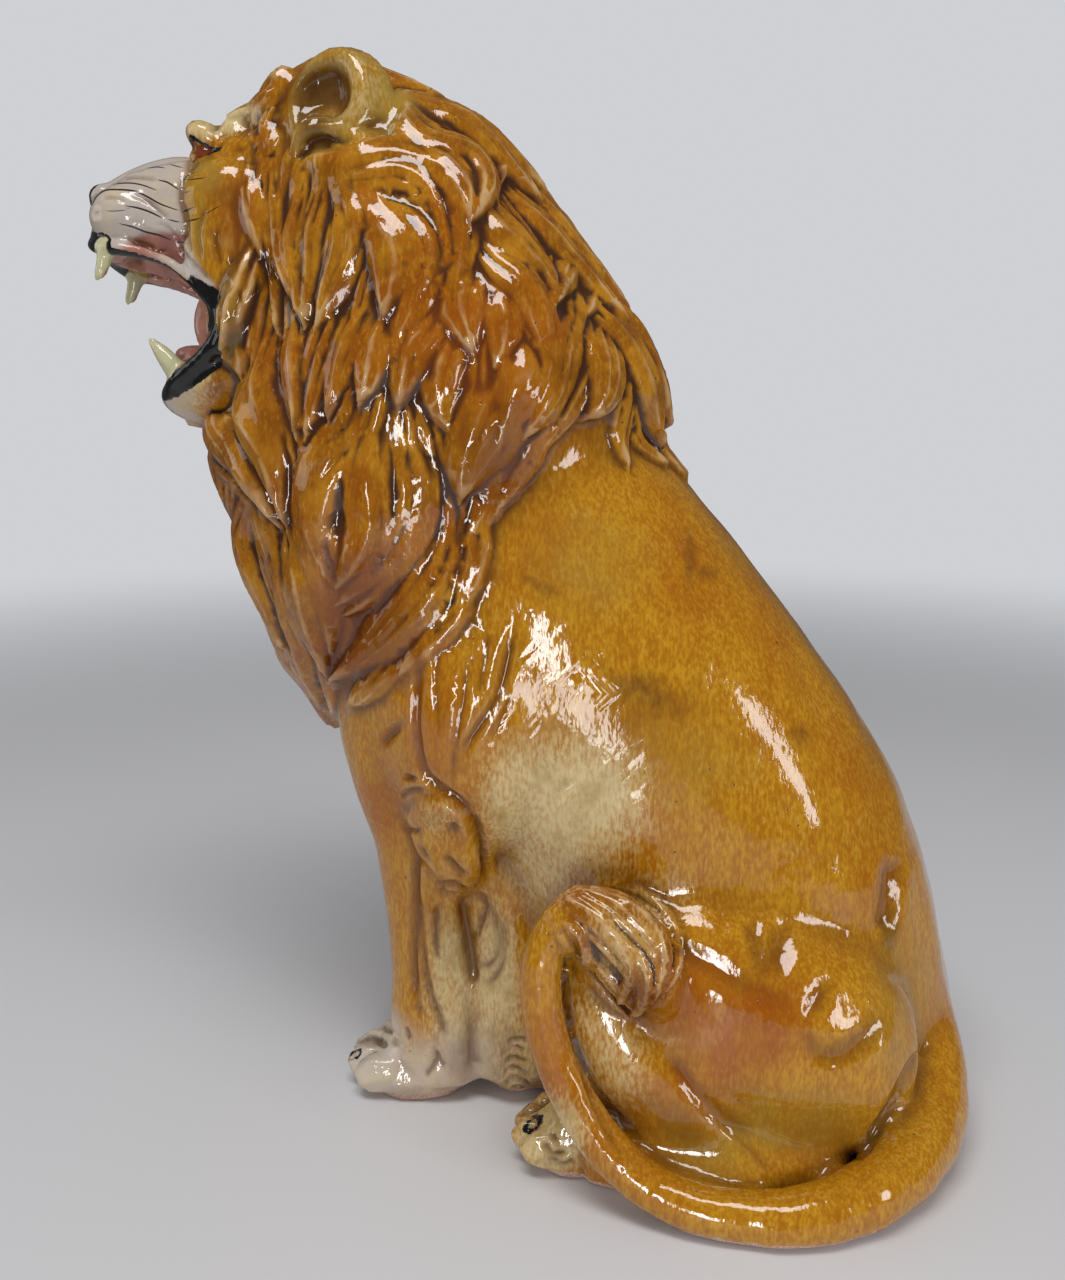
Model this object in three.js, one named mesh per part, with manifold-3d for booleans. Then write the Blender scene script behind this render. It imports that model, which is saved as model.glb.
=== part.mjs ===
// A glazed terracotta lion, seated on its haunches and roaring, cast and fired as one piece.
// Millimetres, +Z up. The lion faces -Y and its left side is +X. It stands on its flat foot,
// with the origin under the middle of its box.
import * as THREE from "three";
import { mergeVertices } from "three/addons/utils/BufferGeometryUtils.js";
import Module from "manifold-3d";

const wasm = await Module();
wasm.setup();

// Driving dimensions.
const BACK_REACH = 248; // rump, behind the shoulder line
const CHEST_REACH = 255; // chest mane, in front of the shoulder line
const TRUNK_HALF = 114; // half the width over the ribs
const MANE_HALF = 108; // half the width of the mane
const MANE_TOP = 648; // crown of the mane above the foot
const CHIN_HEIGHT = 432; // where the mane comes out under the chin
const LEG_SPREAD = 57; // middle of a front leg from the middle plane
const PAW_WIDTH = 62;
const PAW_HIGH = 44;
const HAUNCH_OUT = 98; // middle of a haunch from the middle plane
const TAIL_THICK = 28; // the tail along the ground
const HEAD_PIVOT = [0, -130, 540]; // where the head turns on the neck
const HEAD_YAW = THREE.MathUtils.degToRad(8); // the nose turns to the lion's left
const HEAD_ROLL = THREE.MathUtils.degToRad(11); // the left ear is lifted
const EAR_SPREAD = 64;
const FANG = 30; // length of a canine with its root
const BELOW = 12; // what is modelled under the foot before it is cut flat
const LOCK_WIDE = 42; // a lock of the mane across its widest
const LOCK_PROUD = 8; // how far a lock stands off the mane
const LOCK_BEND = 0.012; // how far a lock sways, as a share of a whole turn
const CORE_BEHIND = -138; // the upright line that the locks turn round
const FAR_OUT = 400; // outside everything, on the way in to the skin

const ACROSS = new THREE.Vector3(1, 0, 0);
const UP = new THREE.Vector3(0, 0, 1);

// A round-ended share of the full section, near either end of a form.
function rounding(share, startCap, endCap) {
  const fromEnd = Math.min(share / startCap, (1 - share) / endCap, 1);
  return Math.sqrt(1 - (1 - fromEnd) ** 2);
}

// A closed form: the rows of a sphere are laid along a smooth spine, and each is stretched to the
// half-width and half-depth there. A station is [x, y, z, halfWidth, halfDepth]. Sections lie
// square to the spine, or level where `level` is set.
function form(stations, options = {}) {
  const { sides = 14, rows = 12, startCap = 0.2, endCap = 0.2 } = options;
  const { level = false, across = ACROSS, squareness = 2 } = options;
  const spine = new THREE.CatmullRomCurve3(stations.map((s) => new THREE.Vector3(s[0], s[1], s[2])));
  const girth = new THREE.CatmullRomCurve3(stations.map((s) => new THREE.Vector3(s[3], s[4] ?? s[3], 0)));
  const geometry = new THREE.SphereGeometry(1, sides, rows);
  const places = geometry.getAttribute("position");
  for (let row = 0; row <= rows; row += 1) {
    const even = row / rows;
    const eased = (1 - Math.cos(Math.PI * even)) / 2;
    const share = (even + eased) / 2;
    const centre = spine.getPoint(share);
    const size = girth.getPoint(share).multiplyScalar(rounding(share, startCap, endCap));
    const along = level ? UP : spine.getTangent(share);
    const deep = new THREE.Vector3().crossVectors(along, across).normalize();
    const wide = new THREE.Vector3().crossVectors(deep, along).normalize();
    for (let side = 0; side <= sides; side += 1) {
      const turn = (side / sides) * 2 * Math.PI;
      const power = 2 / squareness;
      const cosine = -Math.cos(turn);
      const sine = Math.sin(turn);
      const place = centre
        .clone()
        .addScaledVector(wide, Math.sign(cosine) * Math.abs(cosine) ** power * size.x)
        .addScaledVector(deep, Math.sign(sine) * Math.abs(sine) ** power * size.y);
      places.setXYZ(row * (sides + 1) + side, place.x, place.y, place.z);
    }
  }
  return geometry;
}

// A rounded lump with its half-sizes along the three axes.
function lump(middle, halves, sides = 12, rows = 9) {
  const geometry = new THREE.SphereGeometry(1, sides, rows);
  return geometry.scale(...halves).translate(...middle);
}

function mirrored(geometry) {
  const copy = geometry.clone().scale(-1, 1, 1);
  const corners = copy.index.array;
  for (let i = 0; i < corners.length; i += 3) {
    [corners[i + 1], corners[i + 2]] = [corners[i + 2], corners[i + 1]];
  }
  return copy;
}

function pair(geometry) {
  return [geometry, mirrored(geometry)];
}

function solidOf(geometry) {
  const bare = geometry.clone();
  bare.deleteAttribute("normal");
  bare.deleteAttribute("uv");
  const merged = mergeVertices(bare, 1e-3);
  return new wasm.Manifold(
    new wasm.Mesh({
      numProp: 3,
      vertProperties: new Float32Array(merged.attributes.position.array),
      triVerts: new Uint32Array(merged.index.array),
    }),
  );
}

function joined(geometries) {
  return geometries.map(solidOf).reduce((whole, part) => whole.add(part));
}

function geometryOf(solid) {
  const mesh = solid.getMesh();
  const geometry = new THREE.BufferGeometry();
  geometry.setAttribute("position", new THREE.BufferAttribute(new Float32Array(mesh.vertProperties), 3));
  geometry.setIndex(new THREE.BufferAttribute(new Uint32Array(mesh.triVerts), 1));
  return geometry;
}

// A level slice through the trunk or the mane, from its front and back edge.
function slice(height, front, back, half) {
  return [0, (front + back) / 2, height, half, (back - front) / 2];
}

// The trunk leans back from the forelegs and widens to the rump.
function trunk() {
  return form(
    [
      slice(-BELOW, -52, BACK_REACH - 4, TRUNK_HALF - 12),
      slice(24, -56, BACK_REACH - 2, TRUNK_HALF - 10),
      slice(104, -62, BACK_REACH - 18, TRUNK_HALF - 6),
      slice(166, -84, BACK_REACH - 35, TRUNK_HALF - 1),
      slice(234, -146, BACK_REACH - 65, TRUNK_HALF + 1),
      slice(292, -176, BACK_REACH - 105, TRUNK_HALF),
      slice(343, -190, BACK_REACH - 145, TRUNK_HALF - 6),
      slice(400, -195, BACK_REACH - 191, TRUNK_HALF - 22),
      slice(450, -190, 22, TRUNK_HALF - 40),
    ],
    { level: true, sides: 20, rows: 15, startCap: 0.04, endCap: 0.12, squareness: 2.2 },
  );
}

// The mane's mass: crown, neck and chest in level slices, and the ruff round the face.
function maneMass() {
  return form(
    [
      slice(238, -182, -150, 30),
      slice(283, -200, -108, MANE_HALF - 34),
      slice(330, -216, -64, MANE_HALF - 6),
      slice(384, -228, -20, MANE_HALF + 3),
      slice(CHIN_HEIGHT, -CHEST_REACH, 34, MANE_HALF),
      slice(474, -208, 22, MANE_HALF - 4),
      slice(520, -200, -14, MANE_HALF - 12),
      slice(560, -200, -42, MANE_HALF - 22),
      slice(602, -202, -76, MANE_HALF - 38),
      slice(MANE_TOP - 10, -192, -112, MANE_HALF - 66),
    ],
    { level: true, sides: 20, rows: 14, startCap: 0.12, endCap: 0.12, squareness: 2.15 },
  );
}

function foreleg() {
  const x = LEG_SPREAD;
  return form(
    [
      [x + 10, -84, 330, 30, 44],
      [x + 8, -102, 280, 38, 60],
      [x + 4, -108, 236, 35, 54],
      [x + 1, -104, 197, 32, 42],
      [x, -102, 146, 29, 34],
      [x, -99, 89, 27, 32],
      [x + 1, -98, 45, 29, 33],
      [x + 2, -96, -BELOW, 31, 35],
    ],
    { sides: 10, rows: 10, startCap: 0.12, endCap: 0.02 },
  );
}

// A paw seen from above spreads to its toes, which stand as four rounded lobes. The outer toes
// stand back a little behind the middle two.
function paw({ x, heel, toe, width, height }) {
  const half = width / 2;
  const run = heel - toe;
  const back = form(
    [
      [x, heel, height * 0.3, half * 0.8, height * 0.62],
      [x, heel - run * 0.4, height * 0.3, half * 0.92, height * 0.7],
      [x, heel - run * 0.8, height * 0.22, half, height * 0.52],
    ],
    { sides: 8, rows: 5, startCap: 0.35, endCap: 0.35 },
  );
  const toes = [-0.72, -0.26, 0.24, 0.7].map((spot) => {
    const reach = toe + run * 0.26 * spot ** 2;
    const left = x + half * spot;
    const length = run * 0.42;
    return form(
      [
        [left, reach + length, height * 0.42, half * 0.27, height * 0.3],
        [left, reach + length * 0.45, height * 0.38, half * 0.3, height * 0.32],
        [left, reach + 2, height * 0.16, half * 0.27, height * 0.24],
      ],
      { sides: 6, rows: 4, startCap: 0.4, endCap: 0.3 },
    );
  });
  return [back, ...toes];
}

function forequarters() {
  const left = { x: LEG_SPREAD + 2, heel: -78, toe: -162, width: PAW_WIDTH, height: PAW_HIGH };
  const right = { ...left, toe: -152 };
  const elbow = lump([LEG_SPREAD + 24, -80, 182], [16, 24, 42], 8, 6);
  const web = form(
    [
      [LEG_SPREAD - 2, -52, 190, 26, 24],
      [LEG_SPREAD - 2, -50, 100, 30, 30],
      [LEG_SPREAD, -46, -BELOW, 30, 34],
    ],
    { sides: 8, rows: 5, startCap: 0.2, endCap: 0.05 },
  );
  return [
    ...pair(foreleg()),
    ...paw(left),
    ...paw(right).map(mirrored),
    ...pair(elbow),
    ...pair(web),
  ];
}

// A haunch: the thigh, the shin that folds under it, and the hind foot beside the forepaw.
function haunch() {
  const x = HAUNCH_OUT;
  const thigh = form(
    [
      [x + 14, -20, 124, 24, 36],
      [x + 6, 30, 98, 44, 80],
      [x + 2, 88, 82, 54, 84],
      [x - 6, 146, 66, 54, 74],
      [x - 28, 206, 58, 42, 60],
    ],
    { sides: 12, rows: 8, startCap: 0.22, endCap: 0.25 },
  );
  const shin = form(
    [
      [x + 20, -6, 142, 18, 20],
      [x + 32, 18, 98, 22, 28],
      [x + 38, 56, 58, 24, 34],
      [x + 34, 104, 32, 22, 26],
    ],
    { sides: 10, rows: 6, startCap: 0.25, endCap: 0.25 },
  );
  const sole = form(
    [
      [x + 12, 172, 12, 24, 24],
      [x + 36, 104, 14, 30, 31],
      [x + 37, 40, 13, 27, 28],
      [x + 29, -4, 12, 24, 26],
    ],
    { sides: 9, rows: 5, startCap: 0.25, endCap: 0.25 },
  );
  const foot = paw({ x: x + 27, heel: 24, toe: -38, width: 54, height: PAW_HIGH });
  return [thigh, shin, sole, ...foot];
}

// The tail leaves the rump at the ground, runs forward along the left side, and turns up over
// the knee, where its tuft lies on the thigh.
function tail() {
  const r = TAIL_THICK / 2;
  const whip = form(
    [
      [-12, 184, 104, r + 22, r + 22],
      [20, 203, 56, r + 21, r + 21],
      [68, 213, 28, r + 14, r + 14],
      [116, 200, 20, r + 9, r + 9],
      [157, 166, 16, r + 6, r + 6],
      [176, 126, 12, r + 3, r + 3],
      [178, 84, 12, r + 1, r + 1],
      [173, 47, 20, r, r],
      [164, 17, 42, r, r],
      [158, -6, 77, r - 1, r - 1],
      [153, -18, 118, r - 1, r - 1],
      [148, -14, 152, r - 1, r - 1],
      [145, 4, 172, r, r],
      [143, 22, 170, r - 2, r - 2],
    ],
    { sides: 8, rows: 26, startCap: 0.08, endCap: 0.06, across: new THREE.Vector3(0.62, -0.2, 0.5) },
  );
  const tuft = form(
    [
      [143, -4, 172, 12, 12],
      [145, 14, 168, 16, 21],
      [148, 34, 150, 16, 25],
      [149, 46, 128, 14, 19],
      [147, 50, 104, 5, 7],
    ],
    { sides: 8, rows: 6, startCap: 0.2, endCap: 0.2 },
  );
  return [whip, tuft];
}

// The head in its own frame, level and facing -Y, with the pivot as its origin.
function headForms() {
  const skull = form(
    [
      [0, -118, 50, 34, 16],
      [0, -98, 42, 50, 36],
      [0, -62, 30, 60, 54],
      [0, -12, 24, 64, 62],
      [0, 44, 18, 54, 56],
    ],
    { sides: 13, rows: 8, startCap: 0.2, endCap: 0.3 },
  );
  const muzzle = form(
    [
      [0, -186, 22, 15, 15],
      [0, -175, 17, 28, 25],
      [0, -154, 17, 34, 33],
      [0, -128, 15, 40, 41],
      [0, -98, 10, 45, 52],
    ],
    { sides: 11, rows: 7, startCap: 0.16, endCap: 0.2, squareness: 2.3 },
  );
  const nose = lump([0, -178, 34], [14, 12, 9], 7, 5);
  const jaw = form(
    [
      [0, -143, -85, 21, 12],
      [0, -128, -86, 32, 17],
      [0, -104, -82, 40, 24],
      [0, -72, -66, 46, 38],
    ],
    { sides: 11, rows: 5, startCap: 0.22, endCap: 0.2, squareness: 2.3 },
  );
  const cheek = lump([39, -90, 0], [21, 32, 52], 8, 6);
  const hinge = lump([37, -84, -52], [11, 18, 34], 7, 5);
  const brow = lump([28, -102, 55], [14, 17, 12], 7, 5);
  return [skull, muzzle, nose, jaw, ...pair(cheek), ...pair(hinge), ...pair(brow)];
}

// What is cut out of the head: the palate, the throat and the floor of the mouth.
function mouthHollow() {
  return form(
    [
      [0, -176, -8, 15, 8],
      [0, -150, -12, 24, 16],
      [0, -124, -34, 29, 34],
      [0, -96, -46, 30, 28],
      [0, -72, -46, 20, 16],
    ],
    { sides: 8, rows: 6, startCap: 0.25, endCap: 0.3 },
  );
}

function tongue() {
  return form(
    [
      [0, -124, -76, 13, 4],
      [0, -108, -68, 18, 7],
      [0, -88, -58, 20, 12],
      [0, -66, -48, 18, 14],
    ],
    { sides: 7, rows: 4, startCap: 0.3, endCap: 0.3 },
  );
}

// A canine is a curved cone; `lift` is +1 for an upper one and -1 for a lower one.
function fang(x, y, z, lift) {
  return form(
    [
      [x, y + 3, z + lift * FANG * 0.45, 5, 5.5],
      [x, y, z, 4.4, 5],
      [x + 0.5, y - 2.5, z - lift * FANG * 0.35, 2.8, 3],
      [x + 1, y - 3, z - lift * FANG * 0.6, 0.8, 0.8],
    ],
    { sides: 5, rows: 4, startCap: 0.15, endCap: 0.1 },
  );
}

// An ear is a thick-rimmed cup that opens outwards and forwards.
function ear(side) {
  const shell = lump([0, 0, 0], [15, 33, 36], 10, 7);
  const cup = lump([13, -7, -1], [15, 20, 24], 8, 5);
  const whole = solidOf(shell).subtract(solidOf(cup));
  const geometry = geometryOf(whole);
  geometry.rotateY(-0.12).rotateZ(-0.22);
  geometry.translate(EAR_SPREAD, -26, 64);
  return side > 0 ? geometry : mirrored(geometry);
}

// The finished head, turned and rolled on the neck.
function head() {
  const skull = joined([...headForms(), ear(1), ear(-1)]);
  const mouth = skull.subtract(solidOf(mouthHollow()));
  const teeth = [fang(26, -172, -8, 1), fang(22, -135, -77, -1)].flatMap(pair);
  const whole = mouth.add(joined([tongue(), ...teeth]));
  const geometry = geometryOf(whole);
  return geometry.rotateY(-HEAD_ROLL).rotateZ(HEAD_YAW).translate(...HEAD_PIVOT);
}

// A point on the skin of the body at a height and a turn round the neck, lifted off it by `out`.
// No turn is the lion's left side, a quarter turn its back, and three quarters its chest.
function onSkin(skin, height, turn, out) {
  const angle = turn * 2 * Math.PI;
  const outward = new THREE.Vector3(Math.cos(angle), Math.sin(angle), 0);
  const core = new THREE.Vector3(0, CORE_BEHIND, height);
  const ray = new THREE.Raycaster(core.clone().addScaledVector(outward, FAR_OUT), outward.clone().negate());
  const hit = ray.intersectObject(skin)[0];
  return hit.point.addScaledVector(outward, out);
}

// A lock of the mane: a flat drop that hangs down the skin in a slack S and ends in a point.
function lock(skin, { top, bottom, turn, bend }) {
  const shares = [0, 0.3, 0.65, 1];
  const widths = [0.7, 1, 0.8, 0.2];
  const proud = [-0.7, 0.1, -0.1, -0.2];
  const stations = shares.map((share, i) => {
    const height = THREE.MathUtils.lerp(top, bottom, share);
    const sway = turn + bend * Math.sin(share * 2 * Math.PI);
    const place = onSkin(skin, height, sway, LOCK_PROUD * proud[i]);
    return [place.x, place.y, place.z, (LOCK_WIDE / 2) * widths[i], LOCK_PROUD];
  });
  const angle = turn * 2 * Math.PI;
  const sideways = new THREE.Vector3(-Math.sin(angle), Math.cos(angle), 0);
  return form(stations, { sides: 5, rows: 4, startCap: 0.3, endCap: 0.25, across: sideways });
}

// Tiers of locks, from under the crown to the point of the chest. The face and the bare back
// stay free of them.
function maneLocks(skin) {
  const tiers = [
    { top: 604, bottom: 524, count: 5, from: 0.03, to: 0.47 },
    { top: 552, bottom: 456, count: 7, from: -0.05, to: 0.55 },
    { top: 492, bottom: 400, count: 7, from: -0.08, to: 0.58 },
    { top: 436, bottom: 342, count: 7, from: -0.5, to: 0 },
    { top: 372, bottom: 290, count: 5, from: -0.46, to: -0.04 },
    { top: 318, bottom: 246, count: 3, from: -0.36, to: -0.14 },
  ];
  return tiers.flatMap(({ top, bottom, count, from, to }) =>
    Array.from({ length: count }, (_, i) => {
      const turn = THREE.MathUtils.lerp(from, to, i / (count - 1));
      const bend = (i % 2 ? 1 : -1) * LOCK_BEND;
      return lock(skin, { top: top + (i % 3) * 8, bottom: bottom + (i % 2) * 10, turn, bend });
    }),
  );
}

function lion() {
  const bust = joined([trunk(), maneMass()]);
  const skin = new THREE.Mesh(geometryOf(bust));
  const limbs = [...forequarters(), ...haunch(), ...haunch().map(mirrored), ...tail()];
  const whole = bust.add(joined([...limbs, head(), ...maneLocks(skin)]));
  const ground = new THREE.BoxGeometry(1000, 1000, 100).translate(0, 0, -50);
  return geometryOf(whole.subtract(solidOf(ground)));
}

const glaze = new THREE.MeshStandardMaterial({ color: 0xa8660f, roughness: 0.18, metalness: 0 });
const figure = new THREE.Group();
const figurine = new THREE.Mesh(lion(), glaze);
figurine.name = "lion";
figurine.geometry.computeBoundingBox();
const middle = figurine.geometry.boundingBox.getCenter(new THREE.Vector3());
figurine.position.set(-middle.x, -middle.y, 0);
figure.add(figurine);

export default figure;
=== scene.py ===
import math

import bpy
import numpy as np
from mathutils import Matrix, Vector
from mathutils.bvhtree import BVHTree
from mathutils.kdtree import KDTree


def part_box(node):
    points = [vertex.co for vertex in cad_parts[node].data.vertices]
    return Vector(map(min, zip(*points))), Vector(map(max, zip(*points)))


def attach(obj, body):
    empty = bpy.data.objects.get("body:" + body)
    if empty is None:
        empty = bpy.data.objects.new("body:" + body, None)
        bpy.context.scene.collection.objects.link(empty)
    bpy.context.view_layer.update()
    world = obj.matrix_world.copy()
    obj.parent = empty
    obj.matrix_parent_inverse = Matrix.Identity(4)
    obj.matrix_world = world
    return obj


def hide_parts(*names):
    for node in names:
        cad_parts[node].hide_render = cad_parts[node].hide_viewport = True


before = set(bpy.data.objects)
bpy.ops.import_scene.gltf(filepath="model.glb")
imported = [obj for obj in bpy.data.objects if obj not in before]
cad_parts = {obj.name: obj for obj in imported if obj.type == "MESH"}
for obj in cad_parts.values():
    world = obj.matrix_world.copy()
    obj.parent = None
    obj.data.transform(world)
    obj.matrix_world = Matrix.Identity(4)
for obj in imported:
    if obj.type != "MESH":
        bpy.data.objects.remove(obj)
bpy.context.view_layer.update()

# The camera
# It stands level with the lion's left shoulder and a little behind, and looks slightly down.
# Marks on the figure are read off the photograph through it, in pixels of 1065 x 1280.
NOSE_AHEAD = 0.3192  # nose tip, in front of the shoulder line
TAIL_OUT = 0.1940  # outside of the tail, left of the middle plane
CAMERA_PLACE = (0.740, 0.060, 0.452)  # left, behind and above
CAMERA_DIP = math.radians(12)
CAMERA_TURN = math.radians(98)
PICTURE_WIDE, PICTURE_HIGH = 1065, 1280
FOCAL_PIXELS = 1150
SENSOR = 36.0
NEAREST_SEEN = 0.02
MM = 0.001

box_low, box_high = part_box("lion")
shoulder_line = Vector((box_high.x - TAIL_OUT, box_low.y + NOSE_AHEAD, 0.0))

bpy.ops.object.camera_add(
    location=shoulder_line + Vector(CAMERA_PLACE),
    rotation=(math.pi / 2 - CAMERA_DIP, 0, CAMERA_TURN),
)
camera = bpy.context.object
camera.name = "photograph_camera"
camera.data.sensor_width = SENSOR
camera.data.lens = FOCAL_PIXELS / PICTURE_HIGH * SENSOR
camera.data.clip_start = NEAREST_SEEN
bpy.context.scene.camera = camera
bpy.context.view_layer.update()
CAMERA_AXES = np.array(camera.matrix_world.to_3x3())
LENS = np.array(CAMERA_PLACE) / MM


def sight(pixel):
    """Start and direction, in the lion's millimetres, of the line of sight through a pixel."""
    across = (pixel[0] - PICTURE_WIDE / 2) / FOCAL_PIXELS
    down = (pixel[1] - PICTURE_HIGH / 2) / FOCAL_PIXELS
    away = camera.matrix_world.to_3x3() @ Vector((across, -down, -1.0))
    return Vector(CAMERA_PLACE) / MM, away.normalized()


# The raw clay
# The casting's mass, before any hair is combed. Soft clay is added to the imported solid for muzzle,
# brows, eyes, cheeks, lips, fangs, ears, shoulders and elbows, then all of it is worked into one skin.
CLAY_GRAIN = 0.0018  # size of the cells that the clay is worked in
SAME_PLACE = 0.00001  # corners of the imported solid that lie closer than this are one
HEAD_PIVOT = Vector((0, -130, 540))
HEAD_YAW = math.radians(8)
HEAD_ROLL = math.radians(11)

BODY = Matrix.Translation(shoulder_line) @ Matrix.Scale(MM, 4)
head_turn = Matrix.Rotation(HEAD_YAW, 4, "Z") @ Matrix.Rotation(-HEAD_ROLL, 4, "Y")
HEAD = BODY @ Matrix.Translation(HEAD_PIVOT) @ head_turn
HEAD_AXES = np.array(head_turn.to_3x3())
PIVOT = np.array(HEAD_PIVOT)


def mode(name):
    """Opens the clay for editing, or closes it again."""
    bpy.ops.object.mode_set(mode=name)


bpy.ops.object.select_all(action="DESELECT")
clay = bpy.data.objects.new("glazed_lion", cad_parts["lion"].data.copy())
bpy.context.scene.collection.objects.link(clay)
clay.data.materials.clear()
bpy.context.view_layer.objects.active = clay
clay.select_set(True)
mode("EDIT")
bpy.ops.mesh.select_all(action="SELECT")
bpy.ops.mesh.remove_doubles(threshold=SAME_PLACE)
mode("OBJECT")

pellets = []


def pellet(space, middle, halves, dip=0, pair=False):
    """Adds an egg of clay with its half-sizes, in millimetres of the body or the head."""
    for side in (1, -1) if pair else (1,):
        bpy.ops.mesh.primitive_uv_sphere_add(segments=24, ring_count=14, radius=1)
        egg = bpy.context.object
        tilt = Matrix.Rotation(math.radians(dip), 4, "X")
        where = Vector((middle[0] * side, middle[1], middle[2]))
        stretch = Matrix.Diagonal((*halves, 1))
        egg.data.transform(space @ Matrix.Translation(where) @ tilt @ stretch)
        pellets.append(egg)


def smooth_path(points, count):
    """A soft curve through given points, as evenly spaced points."""
    points = np.array(points, float)
    ends = np.vstack([2 * points[0] - points[1], points, 2 * points[-1] - points[-2]])
    share = np.linspace(0, len(points) - 1 - 1e-6, 12 * len(points))
    leg = share.astype(int)
    t = (share - leg)[:, None]
    a, b, c, d = ends[leg], ends[leg + 1], ends[leg + 2], ends[leg + 3]
    squared = a - 2.5 * b + 2 * c - d / 2
    cubed = 1.5 * (b - c) + (d - a) / 2
    line = b + (c - a) * t / 2 + squared * t**2 + cubed * t**3
    run = np.concatenate([[0], np.cumsum(np.linalg.norm(np.diff(line, axis=0), axis=1))])
    even = np.linspace(0, run[-1], count)
    return np.stack([np.interp(even, run, line[:, k]) for k in range(line.shape[1])], axis=1)


ROUND_END = 3  # steps of a rope over which its ends round off
NEVER_ALONG = (0.31, 0.17, 0.93)  # a direction that no rope runs in


def roll(stations, sides):
    """Adds a rope of clay to both sides of the head, through stations of (x, y, z, radius)."""
    path = smooth_path(stations, 6 * len(stations))
    ring = np.arange(sides) * 2 * math.pi / sides
    for side in (1, -1):
        line = path.copy()
        line[:, 0] *= side
        along = np.gradient(line[:, :3], axis=0)
        along /= np.linalg.norm(along, axis=1)[:, None]
        up = np.cross(along, NEVER_ALONG)
        up /= np.linalg.norm(up, axis=1)[:, None]
        out = np.cross(along, up)
        share = np.linspace(0, 1, len(line))
        from_end = np.minimum(share, 1 - share) * len(line) / ROUND_END
        cap = np.sqrt(np.clip(1 - (1 - from_end) ** 2, 0.02, 1))
        cap[from_end > 1] = 1
        size = (line[:, 3] * cap)[:, None, None]
        wave = np.cos(ring)[:, None] * up[:, None] + np.sin(ring)[:, None] * out[:, None]
        shell = (line[:, None, :3] + size * wave).reshape(-1, 3)
        points = np.vstack([shell, line[0, :3], line[-1, :3]])
        last = len(line) - 1
        faces = []
        for k in range(sides):
            beyond = (k + 1) % sides
            for row in range(0, last * sides, sides):
                faces.append((row + k, row + beyond, row + sides + beyond, row + sides + k))
            faces.append((k, len(shell), beyond))
            faces.append((last * sides + k, last * sides + beyond, len(shell) + 1))
        mesh = bpy.data.meshes.new("rope of clay")
        mesh.from_pydata([tuple(p) for p in points], [], faces)
        mesh.transform(HEAD)
        rope = bpy.data.objects.new("rope of clay", mesh)
        bpy.context.scene.collection.objects.link(rope)
        pellets.append(rope)


# Muzzle, bridge and nose leather.
pellet(HEAD, (19, -160, 15), (20, 26, 21), pair=True)
pellet(HEAD, (0, -158, 41), (15, 38, 12), dip=23)
pellet(HEAD, (0, -182, 33), (15, 11, 9))
# Brows that overhang the eyes, the forehead behind them, and the eyeballs under them.
pellet(HEAD, (35, -110, 57), (11, 13.5, 9), dip=-30, pair=True)
roll([(33, -101, 59, 8), (33, -90, 61, 11), (28, -78, 66, 12), (20, -66, 73, 13)], sides=16)
pellet(HEAD, (33, -112, 45), (9, 9, 8), pair=True)
# Cheekbones, cheeks and the hinge of the jaw.
pellet(HEAD, (41, -89, 19), (19, 34, 25), pair=True)
pellet(HEAD, (41, -88, -10), (19, 34, 44), pair=True)
pellet(HEAD, (36, -78, -52), (20, 32, 34), pair=True)
pellet(HEAD, (0, -60, 20), (58, 50, 60))
# Chin, the flesh inside the cheeks, and the root of the tongue.
pellet(HEAD, (0, -119, -91), (30, 29, 16))
pellet(HEAD, (23, -100, -50), (9, 22, 27), pair=True)
pellet(HEAD, (0, -114, -69), (17, 27, 9), dip=-12)
# The rolled lip, from under the nose round the corner of the mouth to the chin.
LIP = [
    (0, -189, 3, 4), (12, -186, 1, 4.5), (24, -178, -4, 5), (31, -165, -7, 4.5), (33, -148, -11, 4),
    (39, -130, -19, 3.5), (45, -115, -32, 3.5), (49, -101, -46, 4), (48, -98, -58, 4.5),
    (44, -104, -68, 5), (36, -115, -77, 5.5), (28, -127, -84, 6), (15, -137, -89, 6), (0, -140, -90, 6),
]
roll(LIP, sides=14)
# Fangs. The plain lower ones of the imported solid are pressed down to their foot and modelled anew.
UPPER_FANG = [(26, -173, -4, 5.4), (26.5, -175, -13, 4.6), (26.5, -178, -20, 3.1), (26, -180, -27, 1.4)]
LOWER_FANG = [(23, -132, -80, 7), (24, -137, -73, 6.2), (24, -142, -67, 4.8), (24, -150, -58, 1.4)]
FANG_FOOT = -74
roll(UPPER_FANG, sides=14)
for vertex in clay.data.vertices:
    own = HEAD.inverted() @ vertex.co
    if FANG_FOOT < own.z < -50 and 15 < abs(own.x) < 31 and -150 < own.y < -126:
        own.z = FANG_FOOT
        vertex.co = HEAD @ own
roll(LOWER_FANG, sides=14)
# Ears: a thick rim that ends below as a rope to the front, the root behind, and a spindle under it.
EAR_RIM = [
    (62, -56, 52, 3.5), (62, -57, 61, 4), (64, -53, 72, 4), (66, -46, 80, 4), (68, -37, 86, 4.5),
    (70, -26, 88, 5.5), (74, -16, 83, 6.5), (76, -12, 75, 7), (77, -10, 65, 7), (77, -10, 56, 7.5),
    (79, -17, 48, 6), (80, -24, 44, 5.5), (79, -31, 46, 5), (77, -40, 46, 5), (74, -46, 43, 5),
    (71, -51, 37, 4.5), (69, -55, 30, 4),
]
roll(EAR_RIM, sides=16)
pellet(HEAD, (66, -1, 52), (11, 11, 26), dip=8, pair=True)
pellet(HEAD, (68, -14, 34), (12, 20, 9), pair=True)
SPINDLE = [
    (70, -48, 27, 2.5), (77, -36, 26, 5.5), (82, -20, 24, 6), (86, -3, 23, 5), (83, 10, 28, 5),
    (76, 15, 42, 5), (68, 13, 57, 5), (58, 9, 72, 4),
]
roll(SPINDLE, sides=14)
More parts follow.
